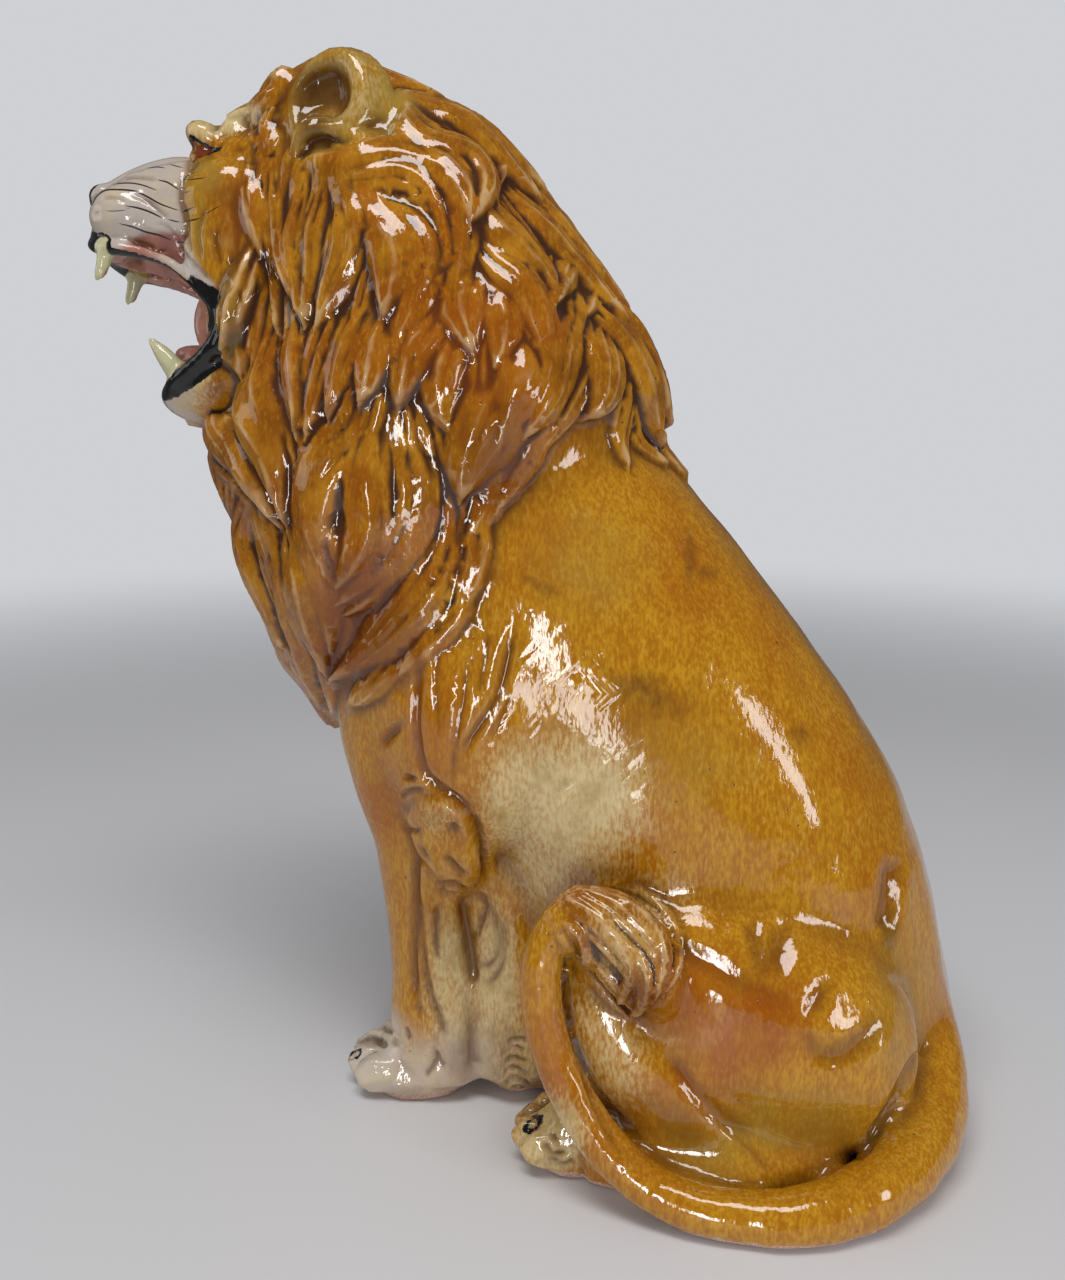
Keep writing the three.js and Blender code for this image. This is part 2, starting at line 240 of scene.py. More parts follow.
# Hair that stands up from the forehead in front of the ears.
pellet(HEAD, (0, -57, 77), (54, 46, 18), dip=29)
# Shoulders, the front of the chest, and the elbows.
pellet(BODY, (78, -70, 262), (44, 62, 86), dip=10, pair=True)
pellet(BODY, (0, -156, 272), (46, 36, 46))
pellet(BODY, (90, -79, 188), (15, 22, 27), dip=8, pair=True)

for egg in pellets:
    egg.select_set(True)
clay.select_set(True)
bpy.context.view_layer.objects.active = clay
bpy.ops.object.join()
one_skin = clay.modifiers.new("one_skin", "REMESH")
one_skin.mode = "VOXEL"
one_skin.voxel_size = CLAY_GRAIN
bpy.ops.object.modifier_apply(modifier=one_skin.name)


def read_clay(what):
    """The place or the normal of each point of the clay."""
    flat = np.empty(len(clay.data.vertices) * 3)
    clay.data.vertices.foreach_get(what, flat)
    return flat.reshape(-1, 3)


def clay_points():
    """The clay's points, in the lion's millimetres."""
    return (read_clay("co") - np.array(shoulder_line)) / MM


def put_points(points):
    """Moves the clay's points to new places, in the lion's millimetres."""
    flat = (points * MM + np.array(shoulder_line)).ravel()
    clay.data.vertices.foreach_set("co", flat)
    clay.data.update()


def clay_web():
    """Which points each point is joined to, for taking means."""
    edges = np.empty(len(clay.data.edges) * 2, np.int64)
    clay.data.edges.foreach_get("vertices", edges)
    one, other = edges.reshape(-1, 2).T
    start = np.concatenate([one, other])
    order = np.argsort(start, kind="stable")
    size = np.bincount(start, minlength=len(clay.data.vertices))
    first = np.concatenate([[0], np.cumsum(size)[:-1]])
    return np.concatenate([other, one])[order], first, np.maximum(size, 1)


def relaxed(values, web, rounds, share=1.0):
    """Values after they have run into their neighbours for some rounds."""
    ahead, first, size = web
    flat = values.ndim == 1
    values = np.asarray(values[:, None] if flat else values, np.float32)
    size = size[:, None].astype(np.float32)
    share = np.float32(share) if np.ndim(share) == 0 else share[:, None].astype(np.float32)
    for _ in range(rounds):
        mean = np.add.reduceat(values[ahead], first, axis=0) / size
        values = values + (mean - values) * share
    values = values.astype(float)
    return values[:, 0] if flat else values


def ease(value, start, end):
    """0 before start and 1 past end, with a soft slope between."""
    t = np.clip((value - start) / (end - start), 0, 1)
    return t * t * (3 - 2 * t)


def head_places(points):
    """The same points in the head's own millimetres."""
    return (points - PIVOT) @ HEAD_AXES


def left_twins(places):
    """Places with the right half laid over the left."""
    return np.abs(places) * (1, 0, 0) + places * (0, 1, 1)


def bump_mask(places, middle, halves):
    """1 well inside an egg, 0 outside it."""
    reach = np.sqrt((((places - np.array(middle)) / np.array(halves)) ** 2).sum(axis=1))
    return 1 - ease(reach, 0.75, 1.1)


# Where the clay is ear, face, tail, foot or paw: 1 inside and 0 outside.
skin = clay_points()
web = clay_web()
in_head = head_places(skin)
folded_head = left_twins(in_head)
folded_body = left_twins(skin)
is_ear = bump_mask(folded_head, (72, -20, 56), (26, 44, 50))
is_face = ease(-in_head[:, 1], 62, 84) * ease(in_head[:, 2], -135, -105)
is_tail = ease(skin[:, 0], 128, 138) * (1 - ease(skin[:, 2], 190, 205))
is_tail = np.maximum(is_tail, ease(skin[:, 1], 176, 196) * (1 - ease(skin[:, 2], 60, 90)))
is_low = 1 - ease(skin[:, 2], 50, 90)
is_paw = ease(-skin[:, 1], 60, 80) * (1 - ease(skin[:, 2], 55, 75))
is_paw = np.maximum(is_paw, bump_mask(folded_body, (125, -16, 18), (42, 46, 44)))


def smooth_normals(rounds):
    """The clay's normals, run into each other."""
    return relaxed(read_clay("normal"), web, rounds)


def calmed(points, rounds):
    """Points with their facets rubbed away, then swelled back so that round forms keep their size."""
    soft = relaxed(points, web, rounds)
    way = smooth_normals(8)
    way /= np.linalg.norm(way, axis=1)[:, None]
    lost = relaxed(((points - soft) * way).sum(axis=1), web, rounds)
    return soft + way * lost[:, None]


GRAIN_ROUNDS = 5  # rounds of smoothing that take off the grain everywhere
FACET_ROUNDS = 45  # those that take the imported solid's facets off the tail and the low parts
BODY_ROUNDS = 40  # those of all but ear, face, tail and low parts
BULK_ROUNDS = 90  # and those of the neck, chest and back after that
UNEVEN = 0.35  # mm by which the casting's surface wavers
SEED = 7

sparing = np.minimum.reduce([1 - 0.5 * is_face, 1 - 0.4 * is_ear, 1 - 0.7 * is_paw])
skin = relaxed(skin, web, GRAIN_ROUNDS, sparing)
put_points(skin)
faceted = np.maximum(is_tail, is_low) * (1 - is_paw)
skin += (calmed(skin, FACET_ROUNDS) - skin) * faceted[:, None]
fine = np.maximum.reduce([is_ear, is_face, is_tail, is_low])
skin = relaxed(skin, web, BODY_ROUNDS, 1 - fine)
is_bulk = (1 - fine) * ease(skin[:, 2], 215, 255)
skin = relaxed(skin, web, BULK_ROUNDS, is_bulk)
chance = np.random.default_rng(SEED)
waver = relaxed(chance.normal(size=len(skin)), web, BULK_ROUNDS)
skin += smooth_normals(4) * (UNEVEN * (1 - is_face) * waver / waver.std())[:, None]
skin[:, 2] = np.maximum(skin[:, 2], 0)
put_points(skin)

polygons = [tuple(face.vertices) for face in clay.data.polygons]
smooth_clay = BVHTree.FromPolygons([Vector(p) for p in skin], polygons)
base_normal = smooth_normals(12)
base_normal /= np.linalg.norm(base_normal, axis=1)[:, None]
height = np.zeros(len(skin))  # how far each point is raised off the smooth clay, in mm
combed = np.zeros(len(skin))  # 1 where hair has been combed
dark = np.zeros(len(skin))  # 1 in grooves, where the glaze will pool
SIGHT_STEPS = range(500, 1100, 20)  # mm from the lens, where a line of sight may just miss the clay


def seen(pixels):
    """Points on the clay under pixels of the photograph, or nearest to a line of sight past it."""
    found = []
    for pixel in pixels:
        start, away = sight(pixel)
        hit = smooth_clay.ray_cast(start, away)[0]
        if hit is None:
            along_sight = [start + away * reach for reach in SIGHT_STEPS]
            hit = min((smooth_clay.find_nearest(p) for p in along_sight), key=lambda found: found[3])[0]
        found.append(hit)
    return np.array(found)


def snapped(points):
    """The nearest points on the clay."""
    return np.array([smooth_clay.find_nearest(Vector(p))[0] for p in points])


def head_share(points):
    """1 near the head's pivot, running out to 0 in the body."""
    return (1 - ease(np.linalg.norm(points - PIVOT, axis=1), 120, 200))[:, None]


def folded(points, normals):
    """The right half laid over the left: the head over its own middle plane, the body over its own."""
    own = head_places(points)
    own_normals = normals @ HEAD_AXES
    own_normals[own[:, 0] < 0, 0] *= -1
    own[:, 0] = np.abs(own[:, 0])
    body = points.copy()
    body_normals = normals.copy()
    body_normals[body[:, 0] < 0, 0] *= -1
    body[:, 0] = np.abs(body[:, 0])
    headed = head_share(points)
    places = (own @ HEAD_AXES.T + PIVOT) * headed + body * (1 - headed)
    return places, own_normals @ HEAD_AXES.T * headed + body_normals * (1 - headed)


def across_plane(points):
    """The matching points on the lion's other side."""
    own = head_places(points) * (-1, 1, 1)
    headed = head_share(points)
    return snapped((own @ HEAD_AXES.T + PIVOT) * headed + points * (-1, 1, 1) * (1 - headed))


def photographed(points, normals):
    """Pixel, distance and facing of every point, or of its twin on the left side, in the photograph."""
    places, ways = folded(points, normals)
    gap = places - LENS
    from_camera = gap @ CAMERA_AXES
    away = -from_camera[:, 2]
    across = PICTURE_WIDE / 2 + FOCAL_PIXELS * from_camera[:, 0] / away
    down = PICTURE_HIGH / 2 - FOCAL_PIXELS * from_camera[:, 1] / away
    facing = -(ways * gap).sum(axis=1) / np.linalg.norm(gap, axis=1)
    pixel = np.stack([across, down], axis=1)
    return {"pixel": pixel, "away": away, "facing": facing, "left": points[:, 0] > 0}


FACING_LEAST = 0.03  # points more edge-on than this can't be drawn on
LINE_ROOM, OVAL_ROOM, AREA_ROOM, WASH_ROOM = 18, 30, 40, 70  # mm of depth that a drawn mark covers


def shortlist(view, low, high, both):
    """Which points face the camera inside a box of the photograph, on both sides or only the left."""
    inside = np.all((view["pixel"] > low) & (view["pixel"] < high), axis=1)
    return np.nonzero(inside & (view["facing"] > FACING_LEAST) & (both | view["left"]))[0]


def far_off(hits):
    """How far off points are, measured straight along the camera."""
    return (hits - LENS) @ -CAMERA_AXES[:, 2]


def nearest_on(line, places):
    """The number of the line's point nearest to each place, and the way from it to the place."""
    gap = places[:, None] - line[None]
    closest = (gap**2).sum(axis=2).argmin(axis=1)
    return closest, gap[np.arange(len(places)), closest]


def near_line(view, pixels, reach, both=True):
    """Points near a line drawn on the photograph: which, their distance from it in mm and their share
    of its length."""
    run = np.linalg.norm(np.diff(np.array(pixels, float), axis=0), axis=1).sum()
    line = smooth_path(pixels, 5 + int(run / 1.5))
    knots = np.linspace(0, len(line) - 1, 2 + len(line) // 5).astype(int)
    depth = np.interp(np.arange(len(line)), knots, far_off(seen(line[knots])))
    room = reach * FOCAL_PIXELS / depth.mean()
    near = shortlist(view, line.min(axis=0) - room, line.max(axis=0) + room, both)
    closest, gap = nearest_on(line, view["pixel"][near])
    heading = np.gradient(line, axis=0)[closest]
    heading /= np.linalg.norm(heading, axis=1)[:, None]
    forward = (heading * gap).sum(axis=1)
    aside = heading[:, 0] * gap[:, 1] - heading[:, 1] * gap[:, 0]
    before = (closest == 0) & (forward < 0)
    beyond = (closest == len(line) - 1) & (forward > 0)
    past = np.where(before | beyond, forward, 0)
    off = np.copysign(np.hypot(aside, past), aside) * view["away"][near] / FOCAL_PIXELS
    kept = (np.abs(off) < reach) & (np.abs(view["away"][near] - depth[closest]) < LINE_ROOM)
    return near[kept], off[kept], closest[kept] / (len(line) - 1)


def near_oval(view, middle, halves, turn=0, room=OVAL_ROOM):
    """Points near an oval drawn on the photograph: which, and their distance from its middle, 1 on its
    edge."""
    middle = np.array(middle, float)
    near = shortlist(view, middle - 1.6 * max(halves), middle + 1.6 * max(halves), both=True)
    gap = view["pixel"][near] - middle
    angle = math.radians(turn)
    u = (gap[:, 0] * math.cos(angle) - gap[:, 1] * math.sin(angle)) / halves[0]
    v = (gap[:, 0] * math.sin(angle) + gap[:, 1] * math.cos(angle)) / halves[1]
    depth = far_off(seen([middle]))[0]
    kept = np.abs(view["away"][near] - depth) < room
    return near[kept], np.hypot(u, v)[kept]


def near_area(view, outline, both=True):
    """Points near an area drawn on the photograph: which, and how many mm they lie inside its edge."""
    corner = np.array(outline, float)
    onward = np.roll(corner, -1, axis=0)
    near = shortlist(view, corner.min(axis=0) - 12, corner.max(axis=0) + 12, both)
    point = view["pixel"][near][:, None]
    edge = onward - corner
    share = np.clip(((point - corner) * edge).sum(axis=2) / (edge**2).sum(axis=1), 0, 1)
    away = np.linalg.norm(point - corner - share[:, :, None] * edge, axis=2).min(axis=1)
    straddles = (corner[:, 1] > point[:, :, 1]) != (onward[:, 1] > point[:, :, 1])
    rise = np.where(edge[:, 1] == 0, 1e-9, edge[:, 1])
    crossing = corner[:, 0] + (point[:, :, 1] - corner[:, 1]) * edge[:, 0] / rise
    inside = (straddles & (point[:, :, 0] < crossing)).sum(axis=1) % 2 == 1
    depth = far_off(seen([corner.mean(axis=0)]))[0]
    kept = np.abs(view["away"][near] - depth) < AREA_ROOM
    return near[kept], (np.where(inside, away, -away) * view["away"][near] / FOCAL_PIXELS)[kept]


# The mane
# Thick pointed locks lie over each other like shingles from the crown to the chest, each combed
# into a few strands. Those that the photograph shows are laid along it, and the right side follows.
LOCK_PROUD = 10.0  # mm that a lock stands off the neck
STRAND_DEEP = 2.3  # mm that the comb cuts between strands
LOCK_STEP = 3.0  # mm between the points that a lock is laid along
LOCK_LIFT = 26  # a lock covers clay up to this far above or below its own line
LOCK_FACING = 0.2  # and only where the clay faces about the same way


def laid(points):
    """A path that lies on the clay, with its directions along it, across it and out of it."""
    length = np.linalg.norm(np.diff(points, axis=0), axis=1).sum()
    count = max(6, int(length / LOCK_STEP))
    line = snapped(smooth_path(points, count))
    out = np.array([smooth_clay.find_nearest(Vector(p))[1] for p in line])
    for _ in range(3):
        out[1:-1] = (out[:-2] + out[1:-1] + out[2:]) / 3
        line[1:-1] = (line[:-2] + 2 * line[1:-1] + line[2:]) / 4
    along = np.gradient(line, axis=0)
    along /= np.linalg.norm(along, axis=1)[:, None]
    side = np.cross(out, along)
    side /= np.linalg.norm(side, axis=1)[:, None]
    return line, along, side, out, length


def beside(path, reach):
    """Points of the clay near a path: which, how far along it (0 to 1) and how far across it."""
    line, along, side, out, length = path
    low, high = line.min(axis=0) - reach, line.max(axis=0) + reach
    near = np.nonzero(np.all((skin > low) & (skin < high), axis=1))[0]
    closest, offset = nearest_on(line, skin[near])
    forward = (offset * along[closest]).sum(axis=1)
    off = (offset * out[closest]).sum(axis=1)
    share = closest / (len(line) - 1) + forward / length
    facing = (base_normal[near] * out[closest]).sum(axis=1)
    kept = (np.abs(off) < LOCK_LIFT) & (facing > LOCK_FACING)
    return near[kept], share[kept], (offset * side[closest]).sum(axis=1)[kept]


def comb_lock(points, wide, strands, proud=LOCK_PROUD, deep=STRAND_DEEP, root=0.3):
    """Raises one lock on the clay, wide at its shoulder and pointed at its tip."""
    path = laid(points)
    near, share, aside = beside(path, wide * 0.5 + 6)
    share_in = np.clip(share, 0, 1)
    # Narrow at its root, widest at a third of its length, and pointed from the middle on.
    swell = 0.55 + 0.45 * ease(share_in, 0.0, 0.32)
    taper = 1 - np.clip((share_in - 0.5) / 0.5, 0, 1) ** 1.7
    t = aside / (wide / 2 * swell * np.maximum(taper, 0.04))
    # The comb's tracks waver a little, and start and end shallow.
    phase, second_phase = chance.uniform(0, 2 * math.pi, 2)
    drift = 0.10 * np.sin(2 * math.pi * share_in * 1.1 + phase) + 0.12 * np.sin(3 * t + second_phase)
    drift = drift * (1 - t**2)
    dome = np.clip(1 - np.abs(t) ** 2.2, 0, None) ** 0.65
    rise = root + (1 - root) * ease(share_in, 0.0, 0.45)
    comb = np.abs(np.sin(math.pi * ((t + drift) * 0.5 + 0.5) * strands)) ** 0.65
    cut = deep * (1 - comb) * ease(share_in, -0.02, 0.16) * (1 - 0.5 * ease(share_in, 0.8, 1.0))
    inside = (np.abs(t) < 1) & (share > -0.03) & (share < 1.02)
    level = proud * rise * dome - cut * dome**0.5
    near, level = near[inside], level[inside]
    higher = level > height[near]
    height[near[higher]] = level[higher]
    combed[near] = 1
    return path


SEEN_LOCKS = {
    # Over the crown and down the back of the neck.
    "crown_edge": (30, 4, [(374, 58), (409, 73), (446, 92), (476, 116), (493, 148), (503, 170)]),
    "crown_second": (30, 4, [(382, 68), (412, 90), (445, 108), (478, 130), (500, 160), (520, 186)]),
    "crown_third": (32, 4, [(388, 84), (415, 106), (445, 124), (474, 140), (490, 162), (494, 190)]),
    "crown_fourth": (32, 4, [(396, 104), (413, 134), (437, 152), (466, 162), (479, 184),
        (476, 212), (468, 232)]),
    "behind_ear": (30, 4, [(404, 136), (424, 158), (446, 178), (462, 206), (468, 236)]),
    "nape_edge": (32, 4, [(500, 158), (527, 182), (554, 212), (577, 243), (592, 270)]),
    "nape_second": (36, 4, [(490, 168), (513, 185), (540, 205), (560, 230), (566, 256),
        (557, 288), (547, 311)]),
    "nape_third": (34, 4, [(484, 186), (490, 207), (502, 230), (525, 257), (543, 279), (546, 308)]),
    "nape_fourth": (32, 4, [(560, 226), (579, 250), (592, 276), (592, 296), (580, 320)]),
    "back_left": (34, 4, [(477, 232), (483, 250), (494, 268), (517, 291), (533, 318), (541, 348),
        (538, 390)]),
    "back_drop": (34, 3, [(473, 258), (464, 286), (462, 311), (468, 336), (474, 356)]),
    "back_drop_right": (28, 3, [(482, 276), (497, 299), (504, 330), (501, 352), (494, 372)]),
    "back_cross": (32, 3, [(437, 298), (431, 323), (412, 354), (402, 388), (398, 410)]),
    "back_long": (30, 3, [(452, 318), (446, 350), (440, 382), (443, 412), (452, 436)]),
    "hem_big": (46, 5, [(514, 366), (505, 400), (487, 430), (468, 462), (458, 500)]),
    "hem_right": (36, 4, [(571, 312), (559, 346), (549, 382), (534, 415), (520, 440)]),
    "hem_far": (36, 4, [(594, 318), (600, 346), (604, 374), (596, 402), (578, 420)]),
    "hem_between": (30, 3, [(520, 330), (522, 360), (515, 395), (505, 425), (495, 450)]),
    "collar_edge": (32, 4, [(594, 292), (616, 318), (638, 350), (655, 384), (663, 414)]),
    "collar_second": (28, 4, [(604, 330), (622, 358), (640, 388), (648, 416)]),
    # Up from the forehead, in front of the ear.
    "fringe_edge": (15, 2, [(250, 114), (265, 102), (281, 88), (296, 72), (310, 56), (322, 48)]),
    "fringe_second": (15, 2, [(256, 140), (259, 122), (268, 109), (282, 100), (292, 84), (304, 66)]),
    "fringe_third": (12, 2, [(266, 150), (268, 132), (274, 118), (284, 108)]),
    # Under the ear.
    "ear_sweep": (40, 4, [(322, 172), (360, 168), (398, 166), (425, 179), (444, 205), (455, 240),
        (455, 278), (444, 314)]),
    "ear_under": (34, 4, [(365, 200), (391, 210), (413, 230), (424, 257), (418, 288), (403, 332),
        (394, 370)]),
    # The fan in front of the ear, beside the cheek.
    "fan_first": (24, 3, [(275, 164), (277, 204), (285, 238), (295, 276), (300, 300)]),
    "fan_second": (24, 3, [(302, 176), (299, 226), (300, 262), (304, 292), (306, 320)]),
    "fan_third": (26, 3, [(322, 178), (319, 226), (317, 262), (312, 300), (309, 330)]),
    "fan_fourth": (34, 4, [(338, 182), (352, 218), (349, 256), (335, 298), (322, 338)]),
    "fan_fifth": (32, 3, [(362, 196), (386, 228), (397, 258), (393, 292), (386, 324)]),
    "fan_low_first": (30, 3, [(346, 280), (338, 314), (327, 352), (318, 395), (311, 442)]),
    "fan_low_second": (28, 3, [(368, 290), (359, 330), (346, 370), (332, 420)]),
    "fan_low_third": (26, 3, [(388, 300), (381, 340), (374, 372), (362, 406)]),
    "cheek_edge": (14, 2, [(262, 158), (264, 190), (268, 226), (277, 262), (287, 300), (290, 342)]),
    "cheek_side": (14, 2, [(250, 168), (252, 200), (256, 232), (262, 262)]),
    "jaw_edge": (24, 3, [(262, 244), (247, 280), (235, 311), (228, 352)]),
    "jaw_second": (28, 3, [(282, 296), (271, 344), (263, 390), (270, 422), (281, 462), (292, 510)]),
    "jaw_third": (22, 3, [(302, 306), (298, 350), (302, 400), (303, 446)]),
    # Down the chest.
    "chest_edge": (32, 4, [(238, 322), (229, 362), (220, 396), (224, 426), (242, 455), (264, 492),
        (284, 524)]),
    "chest_second": (28, 3, [(252, 324), (246, 370), (252, 410), (268, 448), (282, 486), (295, 528)]),
    "breast_left": (36, 3, [(373, 402), (346, 436), (323, 472), (314, 508), (319, 545), (334, 578)]),
    "breast_middle": (34, 3, [(378, 404), (371, 440), (369, 484), (372, 522), (357, 556), (338, 586)]),
    "breast_right": (36, 4, [(384, 406), (400, 442), (412, 480), (410, 520), (390, 556),
        (356, 586), (333, 603)]),
    "breast_side": (26, 3, [(432, 490), (429, 526), (410, 560), (374, 592), (342, 612)]),
    "breast_outer": (38, 5, [(446, 512), (443, 558), (423, 596), (390, 634), (362, 658), (338, 678)]),
    "breast_front": (28, 3, [(296, 470), (302, 518), (315, 556), (327, 596), (336, 650)]),
    "breast_front_low": (24, 3, [(290, 514), (297, 552), (307, 592), (318, 632), (334, 676)]),
    "chest_low": (32, 4, [(254, 488), (250, 528), (260, 568), (279, 608), (300, 646)]),
    "chest_tip": (28, 3, [(270, 508), (279, 550), (290, 600), (308, 655), (330, 704)]),
}
PROUD_SPREAD = (0.8, 1.3)  # no two locks stand equally proud
flow = []
for wide, strands, pixels in SEEN_LOCKS.values():
    left = seen(pixels)
    proud = LOCK_PROUD * chance.uniform(*PROUD_SPREAD)
    flow.append(comb_lock(left, wide, strands, proud))
    flow.append(comb_lock(across_plane(left), wide, strands, proud))

# Locks down the middle of the chest, and over the crown to the nape, that the left side hides.
MIDDLE_LOCKS = {
    "under_chin": [(0, -262, 428), (0, -250, 400), (0, -240, 372), (0, -232, 340)],
    "chest_heart": [(0, -240, 380), (0, -232, 345), (0, -222, 312), (0, -208, 286)],
    "chest_point": [(0, -226, 322), (0, -212, 292), (0, -196, 262), (0, -180, 236)],
    "crown_fore": [(0, -200, 648), (0, -165, 656), (0, -126, 646), (0, -95, 628)],
    "crown_aft": [(0, -120, 640), (0, -85, 622), (0, -60, 592), (0, -40, 565)],
    "nape_high": [(0, -62, 590), (0, -34, 556), (0, -12, 524), (0, 4, 492)],
    "nape_low": [(0, -14, 526), (0, 8, 492), (0, 26, 462), (0, 40, 430)],
}
CROWN_PROUD = 14.0  # the locks of crown and nape lie over those of the sides
CROWN_FROM = 480  # and start above this height
for points in MIDDLE_LOCKS.values():
    for aside in (-36, 36, 0):
        drop = 8 if aside else 0
        spread = [(x + aside * (1 - 0.15 * k), y, z - drop) for k, (x, y, z) in enumerate(points)]
        proud = CROWN_PROUD if points[0][2] > CROWN_FROM else LOCK_PROUD
        flow.append(comb_lock(snapped(spread), 38, 4, proud))

# Smaller locks fill what is still bare between these, along the same flow.
HAIR_ROUNDS, HAIR_CLOSE = 120, 0.42  # a bare point lies among hair when so much of it has run there
FILL_MOST = 90  # small locks at most
FILL_LEAST = 60  # bare points that are left as they are
FILL_REACH = (-26, 0, 24, 46)  # mm from a bare point, along a small lock


def tree_of(places):
    """A search tree of points."""
    made = KDTree(len(places))
    for number, place in enumerate(places):
        made.insert(place, number)
    made.balance()
    return made


flow_tree = tree_of(np.concatenate([path[0] for path in flow]))
flow_along = np.concatenate([path[1] for path in flow])
hair_near = relaxed(combed, web, HAIR_ROUNDS)
for _ in range(FILL_MOST):
    bare = np.nonzero((combed == 0) & (hair_near > HAIR_CLOSE) & (is_face < 0.5) & (is_ear < 0.5))[0]
    if len(bare) < FILL_LEAST:
        break
    place = skin[bare[chance.integers(len(bare))]]
    way = sum(flow_along[found[1]] / (8 + found[2]) for found in flow_tree.find_n(Vector(place), 12))
    way /= np.linalg.norm(way)
    small = snapped([place + way * reach for reach in FILL_REACH])
    comb_lock(small, 24, 3, proud=5.5, root=0.5)
    combed[np.linalg.norm(skin - place, axis=1) < 5] = 1

# No lock lies on the ear, and only low ones behind the chin.
is_hair = ease(relaxed(combed, web, 5), 0.2, 0.8)
on_ear = bump_mask(folded_head, (71, -31, 67), (24, 44, 46))
height *= (1 - on_ear) * (1 - 0.8 * bump_mask(folded_head, (38, -114, -92), (26, 28, 26)))
is_hair *= 1 - on_ear

# Grooves and dimples
# Folds, tool marks and thumb prints, cut in the wet clay where the photograph shows them. Each
# groove has its width and depth in mm and its line in pixels, and a burr of clay stands beside it.
view = photographed(skin, base_normal)


def lay(mask, near, values):
    """Raises a mask to new values where they are higher."""
    mask[near] = np.maximum(mask[near], values)


def groove(wide, deep, pixels, both=True):
    """Cuts one groove, fading out at both ends."""
    near, off, share = near_line(view, pixels, wide * 1.2, both)
    reach = np.abs(off) / (wide / 2)
    fade = ease(share, 0, 0.2) * (1 - ease(share, 0.8, 1))
    burr = 0.10 * np.exp(-(((reach - 1.35) / 0.4) ** 2))
    height[near] += deep * fade * (burr - (1 - ease(reach, 0.0, 1.15)))
    lay(dark, near, fade * (1 - ease(reach, 0.3, 1.2)))


def dab(proud, middle, halves, turn=0):
    """Presses or raises one oval, in mm, its half-sizes in pixels."""
    near, reach = near_oval(view, middle, halves, turn)
    height[near] += proud * (1 - ease(reach, 0.1, 1.1))
    if proud < 0:
        lay(dark, near, 0.8 * (1 - ease(reach, 0.4, 1.1)))


FACE_GROOVES = [
    # Between muzzle and cheek, and down to the corner of the mouth.
    (5.0, 3.0, [(186, 168), (181, 183), (180, 201), (184, 213), (186, 224), (187, 242), (193, 256)]),
    (3.0, 1.6, [(150, 225), (163, 226), (172, 232), (177, 238), (182, 250), (191, 262),
        (205, 276), (216, 288)]),
    # Flews and the soft rows that the whiskers grow from.
    (3.4, 1.0, [(119, 179), (133, 177), (148, 178), (160, 180)]),
    (3.4, 1.1, [(100, 197), (114, 198), (128, 203)]),
    (3.6, 1.2, [(128, 194), (142, 198), (155, 207), (165, 216), (172, 222)]),
    (3.8, 1.2, [(131, 242), (146, 245), (158, 250), (172, 250)]),
    # Cheek.
    (4.5, 2.6, [(207, 206), (198, 224), (197, 242), (201, 262)]),
    (5.0, 2.6, [(218, 227), (215, 242), (222, 268)]),
    (4.5, 2.2, [(236, 186), (233, 210), (238, 236), (234, 262)]),
    (4.0, 2.0, [(245, 172), (247, 200), (252, 230)]),
    # Above and below the lobe of the ear.
    (4.0, 2.6, [(354, 114), (342, 121), (327, 119), (312, 121), (299, 130)]),
    (4.0, 2.6, [(356, 136), (342, 141), (328, 138), (314, 140), (305, 150), (299, 162)]),
    # Strands beside the corner of the mouth.
    (5.0, 3.2, [(248, 238), (238, 268), (230, 298), (226, 330), (222, 360)]),
    (5.0, 3.2, [(256, 248), (248, 280), (240, 312), (234, 344), (230, 372)]),
    (5.0, 3.0, [(262, 268), (256, 300), (248, 330), (242, 360)]),
    (4.0, 2.4, [(240, 246), (232, 270), (226, 294), (224, 312)]),
    # Hair lines at the temple.
    (2.2, 1.4, [(243, 150), (246, 170), (249, 192)]),
    (2.2, 1.6, [(250, 146), (253, 168), (257, 194)]),
    (2.4, 1.8, [(258, 146), (260, 170), (266, 198)]),
    # Over and behind the brow.
    (2.4, 1.6, [(212, 152), (218, 148), (223, 143), (228, 136)]),
    (2.0, 1.0, [(190, 136), (193, 152), (190, 160)]),
]
FACE_DABS = [
    (-1.8, (214, 128), (9, 5), 20),
    (-1.6, (246, 126), (6, 8), 0),
    (-1.6, (255, 131), (5, 7), 0),
    (-1.8, (240, 148), (9, 6), 15),
    (-1.0, (96, 214), (6, 5), 0),
]
